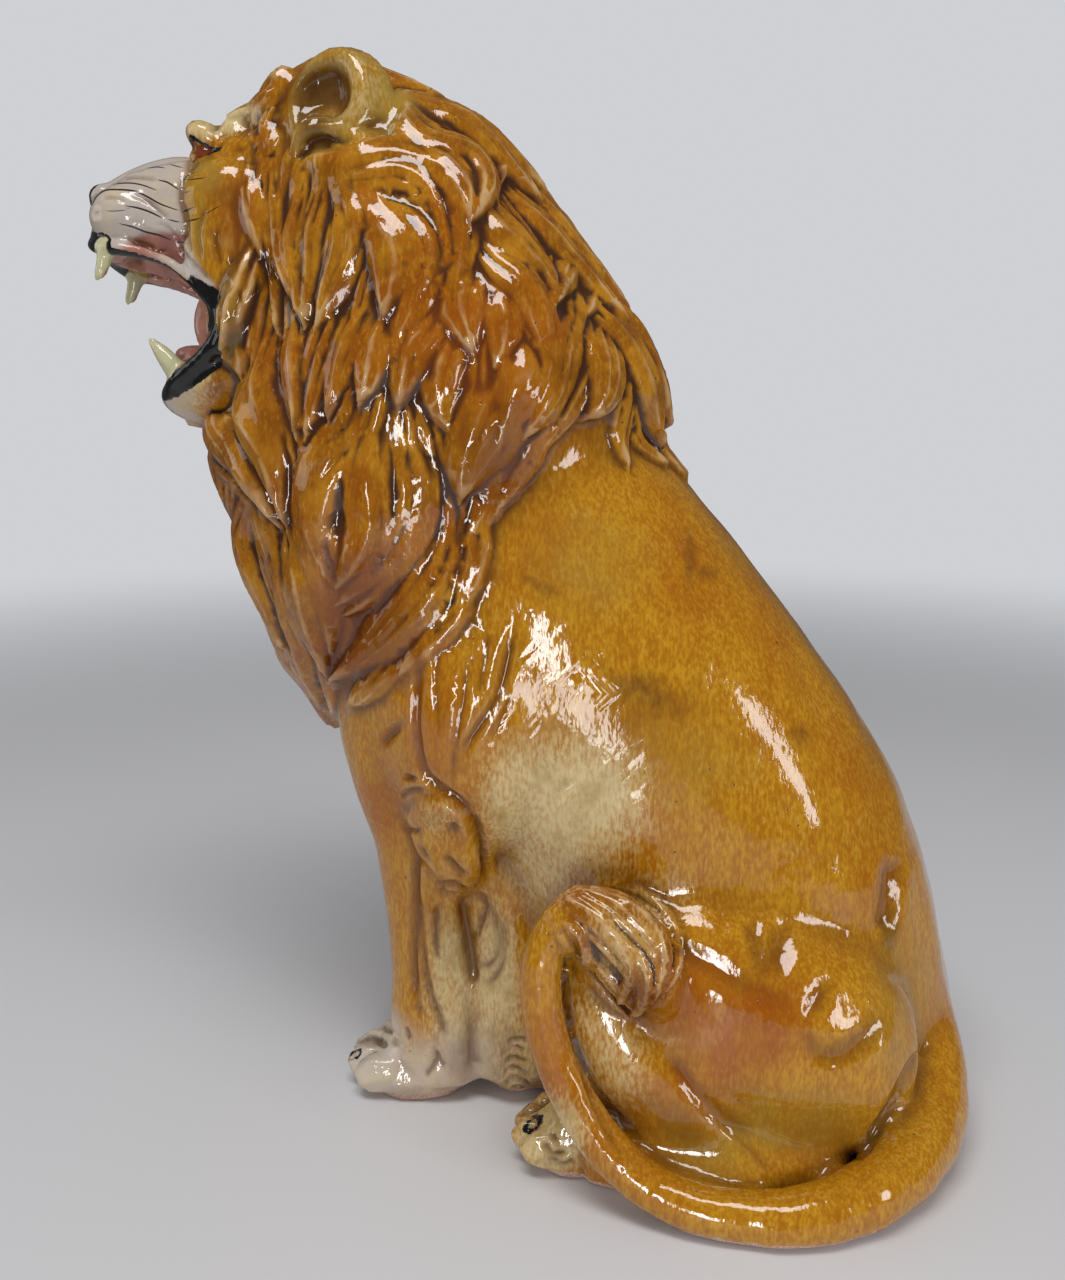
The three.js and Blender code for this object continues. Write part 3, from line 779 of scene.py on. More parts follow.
SHOULDER_GROOVES = [
    (7.0, 4.0, [(422, 646), (416, 702), (417, 743), (425, 773), (443, 790), (463, 804), (479, 827)]),
    (4.0, 2.0, [(473, 648), (466, 676), (463, 702), (456, 743), (453, 768), (456, 789)]),
    (7.0, 3.2, [(514, 620), (509, 651), (501, 687), (489, 712), (468, 743), (458, 763)]),
    (4.0, 1.6, [(512, 689), (501, 720), (490, 742)]),
    (4.0, 1.6, [(438, 640), (436, 690), (440, 742)]),
    (4.0, 1.6, [(490, 628), (484, 664), (478, 700)]),
    (5.0, 3.6, [(402, 776), (417, 781)]),
    (5.0, 3.6, [(399, 798), (412, 791), (425, 791)]),
    (4.6, 3.4, [(407, 825), (418, 828), (428, 826)]),
    (5.2, 4.0, [(446, 850), (458, 864), (468, 872)]),
    (4.8, 3.4, [(424, 842), (433, 858)]),
    (4.6, 3.4, [(436, 886), (451, 877), (462, 882), (470, 892)]),
    (4.4, 3.0, [(436, 895), (450, 888), (460, 894)]),
    (7.0, 4.5, [(470, 812), (478, 831), (481, 847), (485, 866), (483, 884)]),
    (10.0, 5.5, [(463, 892), (464, 912), (468, 940), (472, 969), (474, 993)]),
    (7.5, 4.8, [(399, 815), (408, 831), (415, 852), (415, 882), (415, 930), (413, 959),
        (415, 989), (420, 1014)]),
    (6.5, 3.6, [(419, 890), (423, 949), (429, 989), (441, 1019), (450, 1046)]),
    (5.5, 2.8, [(438, 900), (436, 930), (437, 965)]),
]
SHOULDER_DABS = [
    (-4.5, (391, 734), (22, 8), 52),
    (-4.0, (455, 823), (8, 8), 0),
    (-2.4, (419, 1010), (4, 9), 0),
]
PAW_GROOVES = [
    (6.5, 4.4, [(350, 1043), (362, 1038), (374, 1037), (388, 1048)]),
    (4.6, 3.4, [(406, 1026), (407, 1034), (410, 1041)]),
    (5.5, 3.4, [(433, 1045), (437, 1057), (433, 1066), (428, 1073), (427, 1082)]),
    (4.2, 2.8, [(436, 1053), (441, 1060), (445, 1068)]),
    (5.5, 3.4, [(366, 1022), (378, 1022), (394, 1034)]),
    (4.2, 2.8, [(552, 1131), (557, 1142)]),
    (4.2, 3.0, [(545, 1138), (548, 1149), (556, 1154), (568, 1150)]),
    (4.2, 2.8, [(546, 1156), (555, 1161), (565, 1165), (576, 1157)]),
    (6.0, 2.4, [(476, 890), (486, 905), (480, 925), (472, 945)]),
    (6.0, 2.4, [(488, 900), (498, 930), (496, 956), (482, 966), (478, 950)]),
    (6.0, 2.4, [(506, 915), (503, 960), (492, 980), (480, 984)]),
    (3.6, 2.8, [(502, 1046), (516, 1038), (532, 1042)]),
    (3.6, 2.8, [(498, 1058), (512, 1046), (530, 1052)]),
    (3.6, 2.8, [(498, 1068), (512, 1057), (531, 1064)]),
    (3.6, 2.8, [(499, 1079), (512, 1067), (532, 1076)]),
    (3.6, 2.8, [(502, 1089), (515, 1077), (534, 1088)]),
    (3.6, 2.6, [(508, 1096), (519, 1087), (534, 1097)]),
    (5.0, 3.2, [(512, 1114), (527, 1111), (541, 1104), (552, 1094)]),
]
CLAW_DEEP, CLAW_PROUD = 2.4, 2.6  # mm of the pit round a claw, and of the claw in it
CLAWS = [
    ((355, 1055), (9.5, 4.5), 35),
    ((351, 1031), (7, 3.4), 40),
    ((367, 1009), (6, 3), 30),
    ((533, 1124), (13.5, 7), 45),
    ((526, 1102), (9, 4), 45),
]
HAUNCH_DABS = [
    (-6.0, (780, 952), (20, 36), -8),
    (-3.0, (818, 1000), (12, 30), -30),
]
HAUNCH_GROOVES = [
    (16.0, 3.0, [(664, 936), (690, 955), (714, 967), (742, 985), (769, 998), (800, 1018)]),
    (14.0, 2.0, [(752, 915), (756, 945), (766, 985)]),
    (16.0, 4.0, [(894, 856), (889, 900), (882, 936)]),
    (16.0, 2.4, [(798, 1030), (831, 1056), (866, 1038), (888, 1010)]),
    (12.0, 3.4, [(664, 1046), (696, 1093), (730, 1123), (760, 1138)]),
    (5.0, 1.6, [(687, 1102), (714, 1120), (733, 1135), (760, 1160), (776, 1178)]),
]
TAIL_GROOVES = [
    (9.0, 4.0, [(930, 1040), (912, 1068), (896, 1100), (876, 1132), (852, 1166)]),
    (5.0, 2.4, [(548, 924), (562, 948), (566, 985), (572, 1030), (590, 1090), (612, 1140), (640, 1176)]),
]
for wide, deep, pixels in FACE_GROOVES + SHOULDER_GROOVES + PAW_GROOVES + HAUNCH_GROOVES:
    groove(wide, deep, pixels)
ELBOW = [
    (404, 812), (414, 803), (426, 797), (440, 795), (454, 797), (466, 805), (474, 818), (480, 836),
    (483, 858), (480, 880), (466, 892), (446, 892), (436, 876), (424, 860), (412, 842),
]
ELBOW_PROUD = 5.0
elbow, elbow_inside = near_area(view, ELBOW)
height[elbow] += ELBOW_PROUD * ease(elbow_inside, -1.0, 6.0) ** 0.8
lay(dark, elbow, 0.6 * (1 - ease(np.abs(elbow_inside + 1), 0.5, 2.5)))
for wide, deep, pixels in TAIL_GROOVES:
    groove(wide, deep, pixels, both=False)
for proud, middle, halves, turn in FACE_DABS + SHOULDER_DABS + HAUNCH_DABS:
    dab(proud, middle, halves, turn)
for middle, halves, turn in CLAWS:
    dab(-CLAW_DEEP, middle, halves, turn)
    dab(CLAW_PROUD, middle, (halves[0] / 2, halves[1] / 2), turn)

# The tuft of the tail
# A drop of wavy strands that lies on the haunch, darker towards its tip: broad locks first, and fine
# ones over them.
TUFT_LOCKS = [
    (17, 2, [(552, 912), (570, 938), (590, 968), (612, 1000), (628, 1016)]),
    (19, 3, [(560, 900), (590, 922), (620, 950), (640, 980), (640, 1008)]),
    (19, 3, [(572, 890), (608, 900), (642, 926), (662, 958), (652, 1002)]),
    (15, 2, [(600, 884), (640, 896), (668, 928), (676, 966), (664, 994)]),
    (13, 2, [(586, 950), (604, 974), (624, 996), (634, 1016)]),
]
for wide, strands, pixels in TUFT_LOCKS:
    comb_lock(seen(pixels), wide, strands, proud=4.5, deep=3.4, root=0.4)
FINE_TUFT_LOCKS = [
    (9, 3, [(548, 914), (572, 926), (590, 950), (600, 980), (604, 1000)]),
    (9, 3, [(570, 900), (600, 920), (622, 944), (632, 972), (626, 1000)]),
    (9, 3, [(594, 890), (630, 908), (654, 934), (662, 966), (650, 992)]),
    (8, 3, [(560, 934), (576, 958), (594, 980), (612, 1000), (624, 1014)]),
    (8, 3, [(612, 930), (634, 950), (646, 976), (642, 1004), (628, 1020)]),
]
for wide, strands, pixels in FINE_TUFT_LOCKS:
    comb_lock(seen(pixels), wide, strands, proud=6.5, deep=3.0, root=0.4)
TUFT = [(556, 896), (600, 880), (650, 892), (682, 950), (668, 1004), (628, 1020), (590, 980)]
tuft, tuft_inside = near_area(view, TUFT, both=False)
lay(is_hair, tuft, ease(tuft_inside, -2, 3))

# All this relief is laid on the clay, which stays flat at its foot.
height = relaxed(height, web, 1, 0.5)
worked = skin + base_normal * height[:, None]
worked[:, 2] = np.maximum(worked[:, 2], 0)
put_points(worked)

# How hollow each point lies, at three sizes, for the glaze to run into.
work_normal = read_clay("normal")
hollow = {}
spread = worked
for size, rounds in (("fine", 4), ("middle", 16), ("broad", 80)):
    spread = relaxed(spread, web, rounds)
    hollow[size] = ((spread - worked) * work_normal).sum(axis=1)

# The skin is thinned, but for the front of the face, the toes and the tuft, and made finer under the
# whiskers.
SKIN_MOST = 90000  # triangles of the thinned part
FACE_KEPT = (-98, -98, 60)  # its rear, low and high ends, in the head's mm
MUZZLE_FINER = (-116, -10, 50)  # the same of the part with the whiskers
NOSE_HALF = 14  # the nose between the whiskers isn't made finer
TOES_HIGH, FOREPAW_REAR, HIND_PAW_INNER = 44, -104, 96


def choose_faces(wanted):
    """Opens the clay for editing with the faces selected whose points are all wanted."""
    corners = np.empty(len(clay.data.loops), np.int64)
    clay.data.loops.foreach_get("vertex_index", corners)
    starts = np.empty(len(clay.data.polygons), np.int64)
    clay.data.polygons.foreach_get("loop_start", starts)
    chosen = np.minimum.reduceat(wanted[corners].astype(int), starts).astype(bool)
    bpy.context.tool_settings.mesh_select_mode = (False, False, True)
    mode("EDIT")
    bpy.ops.mesh.select_all(action="DESELECT")
    mode("OBJECT")
    clay.data.polygons.foreach_set("select", chosen)
    mode("EDIT")
    return chosen.sum()


def on_face(own, rear, low, high):
    """Which points of the head lie before a plane and between two heights."""
    return (own[:, 1] < rear) & (own[:, 2] > low) & (own[:, 2] < high) & (np.abs(own[:, 0]) < 66)


left_dense = on_face(head_places(worked), *FACE_KEPT)
left_dense[tuft[tuft_inside > 0]] = True
forepaw = worked[:, 1] < FOREPAW_REAR
hind_paw = (np.abs(worked[:, 0]) > HIND_PAW_INNER) & (worked[:, 1] < 0)
left_dense |= (worked[:, 2] < TOES_HIGH) & (forepaw | hind_paw)
plain = choose_faces(~left_dense)
bpy.ops.mesh.decimate(ratio=SKIN_MOST / (2 * plain))
mode("OBJECT")
own = head_places(clay_points())
choose_faces(on_face(own, *MUZZLE_FINER) & (np.abs(own[:, 0]) > NOSE_HALF))
bpy.ops.mesh.subdivide(number_cuts=1, smoothness=0)
bpy.ops.mesh.select_all(action="SELECT")
bpy.ops.mesh.quads_convert_to_tris()
mode("OBJECT")
bpy.ops.object.shade_smooth()

# The painting
# Masks that the glaze is mixed from, one number for each point of the finished skin.
final = clay_points()
final_normal = read_clay("normal")
final_view = photographed(final, final_normal)
own = head_places(final)
folded_own = left_twins(own)
NEAR_EVEN = 0.3  # mm within which nearness makes no more difference
dense_tree = tree_of(worked)
found = np.array([[(number, gap) for _, number, gap in dense_tree.find_n(Vector(p), 4)] for p in final])
nearest = found[:, :, 0].astype(int)
weight = 1 / (found[:, :, 1] + NEAR_EVEN) ** 2
weight /= weight.sum(axis=1)[:, None]


def carried(values):
    """Values of the dense clay, blended onto the thinned skin."""
    return (values[nearest] * weight).sum(axis=1)


def paint(name, values):
    """Stores one mask on the finished skin."""
    mask = clay.data.attributes.new(name, "FLOAT", "POINT")
    mask.data.foreach_set("value", values.astype(np.float32))


def washed(spots):
    """A soft mask from ovals: strength, middle and half-sizes in pixels, and turn where there is one."""
    mask = np.zeros(len(final))
    for strength, middle, halves, *turn in spots:
        near, reach = near_oval(final_view, middle, halves, *turn, room=WASH_ROOM)
        lay(mask, near, strength * (1 - ease(reach, 0.35, 1.25)))
    return mask


def filled(outline, soft):
    """A mask from an outlined area, with a soft edge so many mm wide."""
    near, inside = near_area(final_view, outline)
    mask = np.zeros(len(final))
    mask[near] = ease(inside, -soft / 2, soft / 2)
    return mask


hair = carried(is_hair)
fine_hollow = carried(hollow["fine"])
middle_hollow = carried(hollow["middle"])
broad_hollow = carried(hollow["broad"])
FINE_FULL, MIDDLE_FULL, BROAD_FULL = 1.1, 2.8, 14  # mm of hollow at which the glaze is all pool
pool = np.clip(fine_hollow / FINE_FULL + middle_hollow / MIDDLE_FULL + broad_hollow / BROAD_FULL, 0, 1)
pool = np.maximum(pool, 0.7 * carried(relaxed(dark, web, 1)))
crest = np.clip(-fine_hollow / 0.6 - 0.1, 0, 1)

MUZZLE = [
    (90, 186), (104, 172), (125, 166), (150, 160), (172, 157), (186, 160), (181, 184), (181, 205),
    (186, 226), (190, 250), (202, 270), (216, 286), (206, 290), (190, 280), (160, 266), (128, 254),
    (100, 254), (88, 230),
]
CHIN = [
    (168, 388), (186, 372), (206, 358), (222, 336), (228, 330), (224, 372), (216, 412), (192, 416),
    (174, 404),
]
muzzle_front = ease(-own[:, 1], 116, 130) * ease(own[:, 2], -22, -6) * (1 - ease(own[:, 2], 52, 66))
chin_front = ease(-own[:, 1], 92, 106) * (1 - ease(own[:, 2], -84, -74)) * ease(own[:, 2], -118, -108)
forepaws = ease(-final[:, 1], 96, 128) * (1 - ease(final[:, 2], 40, 66))
foreleg = washed([(0.8, (400, 1075), (90, 46)), (0.7, (462, 1070), (40, 50))])
chin = filled(CHIN, 8)
pale = np.maximum.reduce([filled(MUZZLE, 4), muzzle_front, chin_front, chin, forepaws, foreleg])
pale *= (1 - hair) * (1 - 0.5 * chin)
cream = washed([
    (1.0, (572, 806), (92, 84), 20),
    (0.9, (520, 800), (46, 70)),
    (0.8, (545, 860), (50, 60)),
    (0.9, (452, 990), (34, 90)),
    (0.9, (494, 1000), (34, 120)),
    (0.9, (516, 1060), (34, 60)),
    (1.0, (548, 1140), (46, 52)),
    (0.6, (606, 1040), (42, 86), 20),
    (0.5, (660, 900), (40, 40)),
    (1.2, (218, 120), (52, 22), 12),
    (0.9, (186, 384), (34, 40), -20),
    (0.5, (620, 940), (50, 50)),
    (0.45, (350, 88), (46, 56)),
    (0.4, (440, 820), (30, 30)),
])
olive = washed([
    (0.9, (202, 176), (26, 24)),
    (0.8, (196, 220), (14, 60)),
    (0.6, (228, 320), (14, 50)),
    (0.5, (640, 760), (120, 60)),
    (0.6, (780, 1120), (120, 40)),
    (0.6, (700, 1140), (70, 40), -30),
    (0.5, (590, 560), (70, 60)),
    (0.5, (900, 1000), (40, 90)),
])
olive = np.maximum(olive, bump_mask(folded_own, (72, -20, 62), (20, 44, 42)))
# Red-amber patches of the glaze; some of these washes also darken parts that turn from the light, such
# as the front of the shoulder and the lower mane: painted shade.
red_and_shade = washed([
    (1.0, (752, 1030), (80, 56), 40),
    (0.8, (700, 990), (60, 40), 30),
    (0.7, (500, 385), (60, 50)),
    (0.6, (690, 580), (40, 60)),
    (0.6, (470, 330), (90, 60)),
    (0.6, (232, 215), (26, 46)),
    (0.5, (550, 1060), (26, 90)),
    (0.6, (340, 590), (40, 60)),
    (0.6, (430, 700), (40, 70)),
    (0.6, (690, 1095), (60, 44), -20),
    (0.6, (380, 800), (20, 90)),
])
cup = carried(on_ear) * ease(middle_hollow + broad_hollow, 1.0, 5.0)
# Burnt-brown washes of the glaze; some of these also darken parts that turn from the light, such as the
# foreleg and the lower mane: painted shade.
burnt_and_shade = washed([
    (0.9, (668, 704), (42, 14), 12),
    (0.7, (640, 690), (30, 20)),
    (0.8, (540, 586), (28, 7), -30),
    (0.7, (706, 574), (14, 10)),
    (0.6, (690, 560), (8, 34)),
    (0.6, (800, 736), (14, 16)),
    (0.8, (342, 650), (40, 36)),
    (0.9, (310, 104), (24, 44), 10),
    (0.7, (332, 90), (16, 30), 20),
    (0.9, (640, 998), (34, 22), -30),
    (0.5, (462, 1060), (20, 26)),
    (0.6, (372, 1042), (18, 8)),
    (0.6, (890, 930), (12, 26)),
    (0.5, (500, 1046), (18, 40)),
    (0.4, (664, 1120), (60, 24), -30),
    (0.8, (360, 620), (60, 80)),
    (0.4, (270, 440), (30, 90)),
    (0.7, (494, 460), (44, 60)),
    (0.4, (228, 215), (30, 50)),
])
burnt_and_shade = np.maximum(burnt_and_shade, 1.2 * cup)

LIP_PAINT = [8, 8, 8.5, 7, 5.5, 5, 6, 9, 11, 11, 11, 10, 8.5, 8]  # mm of black beside each row of LIP


def lip_gap(places):
    """How many mm inside the painted edge of the lip each point lies, by its distance from the lip."""
    path = smooth_path([(x, y, z, wide) for (x, y, z, _), wide in zip(LIP, LIP_PAINT)], 120)
    near = np.nonzero((places[:, 1] < -70) & (places[:, 2] < 30) & (places[:, 2] > -125))[0]
    gap = np.linalg.norm(places[near][:, None] - path[None, :, :3], axis=2)
    closest = gap.argmin(axis=1)
    inside = np.full(len(places), -6.0)
    inside[near] = np.maximum(path[closest, 3] - gap[np.arange(len(near)), closest], -6)
    return inside


def within(places, middle, halves):
    """Roughly how many mm inside an egg each point lies."""
    reach = np.sqrt((((places - np.array(middle)) / np.array(halves)) ** 2).sum(axis=1))
    return (1 - reach) * min(halves)


# Black is stored as mm inside its edge, so that the brush can fray it: lips, nose, eye lines, claws.
black = lip_gap(folded_own)
black = np.maximum(black, within(folded_own, (0, -190, 38), (15, 9, 11)))
EYE_LINES = [
    (1.3, [(192, 137), (203, 144), (214, 150), (221, 148)]),
    (1.6, [(191, 136), (192, 148), (190, 160)]),
    (0.8, [(191, 162), (200, 157), (212, 152)]),
]
for half, pixels in EYE_LINES:
    near, off, _ = near_line(final_view, pixels, 5)
    lay(black, near, half - np.abs(off))
for middle, halves, turn in CLAWS:
    near, reach = near_oval(final_view, middle, halves, turn)
    ring = 0.24 - np.abs(reach - 0.72)
    lay(black, near, ring * min(halves) * 0.62)
# The lip's flat inner and upper sides stay free of black, and the mouth is painted only inside it.
own_way = final_normal @ HEAD_AXES
outward = own_way[:, 0] * np.sign(own[:, 0])
on_lip = ease(-own[:, 1], 114, 122) * (1 - ease(-own[:, 1], 162, 172)) * ease(own[:, 2], -36, -30)
black -= on_lip * (8 * ease(own_way[:, 2], -0.5, -0.15) + 8 * ease(-outward, 0.25, 0.5))
mouth = ease(within(folded_own, (0, -128, -40), (58, 66, 54)), -1, 3)
lip_near = folded_own[:, 0] - 7 * ease(own[:, 2], -72, -62)
mouth *= 1 - ease(outward, 0.1, 0.5) * ease(lip_near, 29, 35)
mouth *= 1 - ease(-own_way[:, 1], 0.3, 0.7) * ease(-own[:, 2], 66, 78) * ease(-own[:, 1], 130, 138)
mouth *= 1 - ease(-own_way[:, 1], 0.3, 0.7) * ease(own[:, 2], -30, -20) * ease(-own[:, 1], 158, 168)
FANG_CORES = [
    ((26, -181, -27), (26, -173, -6), 7.0),
    ((24, -151, -58), (23, -135, -76), 9.0),
]
ivory = np.zeros(len(final))
for tip, root, thick in FANG_CORES:
    line = np.array(root, float) - tip
    share = np.clip(((folded_own - tip) @ line) / (line @ line), 0, 1)
    gap = np.linalg.norm(folded_own - tip - share[:, None] * line, axis=1)
    ivory = np.maximum(ivory, 1 - ease(gap - thick * (0.35 + 0.65 * share), -0.2, 0.8))
black = np.where(ivory > 0.5, -3, black)
EYE = [(194, 160), (194, 142), (204, 146), (214, 151)]
eye, eye_inside = near_area(final_view, EYE)
iris = np.zeros(len(final))
iris[eye] = ease(eye_inside, -0.6, 0.6)
bare = 1 - ease(final[:, 2], 3.0, 8.0)
bare = np.maximum(bare, (final_normal[:, 2] < -0.9) & (final[:, 2] < 2))

# The whiskers, brushed in black over the pale muzzle, and dashes on the cheek: half-width and line.
WHISKERS = [
    (0.40, [(148, 168), (157, 167), (165, 168)]),
    (0.38, [(170, 164.5), (176, 166), (182, 167.6)]),
    (0.55, [(158.5, 180), (166.6, 182), (172, 185), (178, 189)]),
    (0.50, [(114, 184), (129, 183), (142, 185), (156, 190)]),
    (0.62, [(92, 205), (97, 196), (105, 190.5), (116, 189.5), (134, 191), (146, 196),
        (160.5, 204), (177, 210)]),
    (0.62, [(127, 206), (138, 208), (150, 212), (161.5, 217.6)]),
    (0.45, [(169, 219.6), (174, 221), (179, 222)]),
    (0.32, [(106, 211), (116, 211), (126, 210)]),
    (0.66, [(121, 224), (133, 227), (146, 232), (158.5, 235), (170, 239.5)]),
    (0.45, [(175, 241), (180, 242), (184.5, 242.6)]),
    (0.35, [(184, 180), (187, 176), (195, 172)]),
    (0.38, [(187, 180), (195, 179), (204, 178)]),
    (0.42, [(185, 192.6), (187, 192), (188.6, 191)]),
    (0.75, [(184.5, 211), (188, 210), (191, 208)]),
    (0.55, [(188, 221), (193, 220), (198, 218.6)]),
    (0.35, [(206, 213.5), (211, 211), (216.6, 207)]),
    (0.45, [(231, 204), (233, 203.5), (235, 203)]),
]
stroke = np.full(len(final), 3.0)
pressure = np.zeros(len(final))
for half, pixels in WHISKERS:
    near, off, share = near_line(final_view, pixels, 3)
    closer = np.abs(off) < np.abs(stroke[near])
    near, off, share = near[closer], off[closer], share[closer]
    stroke[near] = off
    pressure[near] = half * (1 - 0.5 * np.abs(2 * share - 1) ** 3) * (1 - ease(np.abs(off), 1.8, 2.6))

masks = {
    "hair": hair, "pool": pool, "crest": crest, "pale": pale, "cream": cream, "olive": olive, "red_and_shade": red_and_shade,
    "burnt_and_shade": burnt_and_shade, "black": np.clip(black, -6, 6), "mouth": mouth, "ivory": ivory, "iris": iris,
    "bare": bare, "stroke": stroke, "pressure": pressure,
}
for name, values in masks.items():
    paint(name, values)

# The glaze
# Honey-amber lead glaze over a cream slip: clear, thick and glossy, pooled brown in the grooves and
# broken to cream on the ridges, the cream as light as the ridges' highlights: partly painted highlight.
# Some red and brown washes and the darker muzzle are painted shade. Black and pink are painted on the
# face under it.
# The foot is bare.
HONEY = (0.35, 0.130, 0.004)
HONEY_LIGHT = (0.50, 0.25, 0.012)
AMBER = (0.24, 0.078, 0.003)
GOLD = (0.42, 0.175, 0.008)
POOLED = (0.055, 0.020, 0.008)
BODY_POOLED = (0.13, 0.040, 0.005)
BROKEN_GLAZE_AND_HIGHLIGHT = (0.56, 0.36, 0.17)
OLIVE = (0.31, 0.195, 0.030)
RED_AMBER = (0.29, 0.064, 0.002)
BURNT = (0.10, 0.036, 0.008)
BURNT_RED = (0.15, 0.034, 0.002)
CREAM = (0.64, 0.51, 0.26)
PALE = (0.56, 0.48, 0.395)
# Pale of the muzzle, darkened where it turns from the light: painted shade.
SHADED_MUZZLE_PALE = (0.45, 0.385, 0.34)
PINK = (0.30, 0.12, 0.10)
IVORY = (0.50, 0.47, 0.28)
BLACK = (0.008, 0.008, 0.008)
IRIS = (0.16, 0.035, 0.010)
WARM_PINK = (0.46, 0.22, 0.15)
TERRACOTTA = (0.42, 0.22, 0.15)
PALE_TERRACOTTA = (0.62, 0.45, 0.36)
GLAZE_GLOSS, CLAY_GLOSS = 0.07, 0.75  # roughness of each
GLAZE_IOR = 1.55
RIPPLE_DEEP = 0.0012  # metres

glaze = bpy.data.materials.new("honey_glaze")
glaze.use_nodes = True
tree = glaze.node_tree
shader = tree.nodes["Principled BSDF"]


def node(kind, feeds, output=0, **settings):
    """A shader node with its settings, fed by values or by other nodes, and one of its outputs."""
    made = tree.nodes.new(kind)
    for name, value in settings.items():
        setattr(made, name, value)
    for socket, feed in feeds.items():
        if isinstance(feed, bpy.types.NodeSocket):
            tree.links.new(feed, made.inputs[socket])
        else:
            made.inputs[socket].default_value = feed
    return made.outputs[output]


def mask_of(name):
    """One of the painted masks."""
    return node("ShaderNodeAttribute", {}, output="Fac", attribute_name=name)


def in_clay():
    """The place in the object, in metres."""
    return node("ShaderNodeTexCoord", {}, output="Object")


def figure(operation, one, *others):
    """One value worked on by others in turn."""
    for other in others:
        one = node("ShaderNodeMath", {0: one, 1: other}, operation=operation)
    return one


def times(*values):
    return figure("MULTIPLY", *values)


def plus(*values):
    return figure("ADD", *values)


def between(value, low, high, start=0.0, end=1.0):
    """Carries a value from one range to another, softly."""
    feeds = {0: value, 1: low, 2: high, 3: start, 4: end}
    return node("ShaderNodeMapRange", feeds, interpolation_type="SMOOTHSTEP")


def mixed(share, one, other):
    """One colour over another."""
    feeds = {0: share}
    for socket, colour in ((1, one), (2, other)):
        feeds[socket] = (*colour, 1) if isinstance(colour, tuple) else colour
    return node("ShaderNodeMixRGB", feeds)


def cloud(scale, detail=3.0, rough=0.55, stretch=(1, 1, 1), shift=(0, 0, 0)):
    """Noise through the clay, about 1 / scale metres large."""
    where = node("ShaderNodeMapping", {"Vector": in_clay(), "Scale": stretch, "Location": shift})
    feeds = {"Vector": where, "Scale": scale, "Detail": detail, "Roughness": rough}
    return node("ShaderNodeTexNoise", feeds)


fleck = cloud(520, detail=2.0, stretch=(1, 1, 0.38))
streak = cloud(150, stretch=(1, 1, 0.22), shift=(3, 1, 2))
drift = cloud(16, shift=(5, 2, 7))
blotch = cloud(42, detail=4.0, rough=0.6, shift=(1, 8, 4))
grit = cloud(900, detail=2.0, shift=(2, 2, 9))

hair_mask = mask_of("hair")
pool_mask = mask_of("pool")
crest_mask = mask_of("crest")

speck = between(plus(times(fleck, 0.65), times(streak, 0.35)), 0.35, 0.68)
body = mixed(speck, HONEY, HONEY_LIGHT)
body = mixed(between(drift, 0.45, 0.70, 0.0, 0.35), body, RED_AMBER)
body = mixed(times(pool_mask, 0.85), body, BODY_POOLED)
locks = mixed(between(blotch, 0.36, 0.66), AMBER, GOLD)
locks = mixed(between(drift, 0.47, 0.64, 0.0, 0.5), locks, RED_AMBER)
locks = mixed(between(speck, 0.4, 1.0, 0.0, 0.35), locks, HONEY_LIGHT)
locks = mixed(between(pool_mask, 0.08, 0.85), locks, POOLED)
colour = mixed(hair_mask, body, locks)

uneven = between(blotch, 0.3, 0.7, 0.6, 1.25)
# Olive tint, and red amber that is partly glaze colour and partly painted shade.
for name, tint, strength in (("olive", OLIVE, 0.75), ("red_and_shade", RED_AMBER, 0.7)):
    colour = mixed(times(mask_of(name), uneven, strength), colour, tint)
fleck_edge = between(fleck, 0.3, 0.7, -0.22, 0.22)
cream_edge = plus(mask_of("cream"), fleck_edge, between(blotch, 0.3, 0.7, -0.15, 0.15))
cream_colour = mixed(between(blotch, 0.42, 0.8, 0.0, 0.85), CREAM, OLIVE)
cream_colour = mixed(times(pool_mask, 0.8), cream_colour, BURNT)
colour = mixed(between(cream_edge, 0.1, 1.25, 0.0, 0.95), colour, cream_colour)
# Higher up, on the head, the pale turns darker: painted shade on the muzzle.
up = node("ShaderNodeSeparateXYZ", {0: in_clay()}, output="Z")
pale_colour = mixed(between(up, 0.3, 0.4), PALE, SHADED_MUZZLE_PALE)
pale_colour = mixed(between(blotch, 0.45, 0.75, 0.0, 0.55), pale_colour, CREAM)
pale_colour = mixed(between(pool_mask, 0.1, 0.9, 0.0, 0.6), pale_colour, BURNT)
colour = mixed(mask_of("pale"), colour, pale_colour)
# Burnt brown, in part painted shade.
burnt_and_shade_colour = mixed(hair_mask, BURNT, BURNT_RED)
burnt_and_shade_share = times(mask_of("burnt_and_shade"), uneven, 0.85)
colour = mixed(burnt_and_shade_share, colour, burnt_and_shade_colour)
# Ridges turn cream where the glaze breaks thin over them, painted as light as their highlights: partly
# painted highlight.
broken_edge_and_highlight = times(
    between(crest_mask, 0.45, 1.0),
    between(blotch, 0.3, 0.6, 0.25, 0.8),
    between(hair_mask, 0.0, 1.0, 0.3, 1.0),
    between(burnt_and_shade_share, 0.0, 0.8, 1.0, 0.3),
)
colour = mixed(broken_edge_and_highlight, colour, BROKEN_GLAZE_AND_HIGHLIGHT)

pits = node("ShaderNodeTexVoronoi", {"Vector": in_clay(), "Scale": 95.0}, output="Distance")
pit = times(between(pits, 0.05, 0.10, 1.0, 0.0), between(blotch, 0.52, 0.6))
colour = mixed(times(pit, 0.8), colour, BURNT)

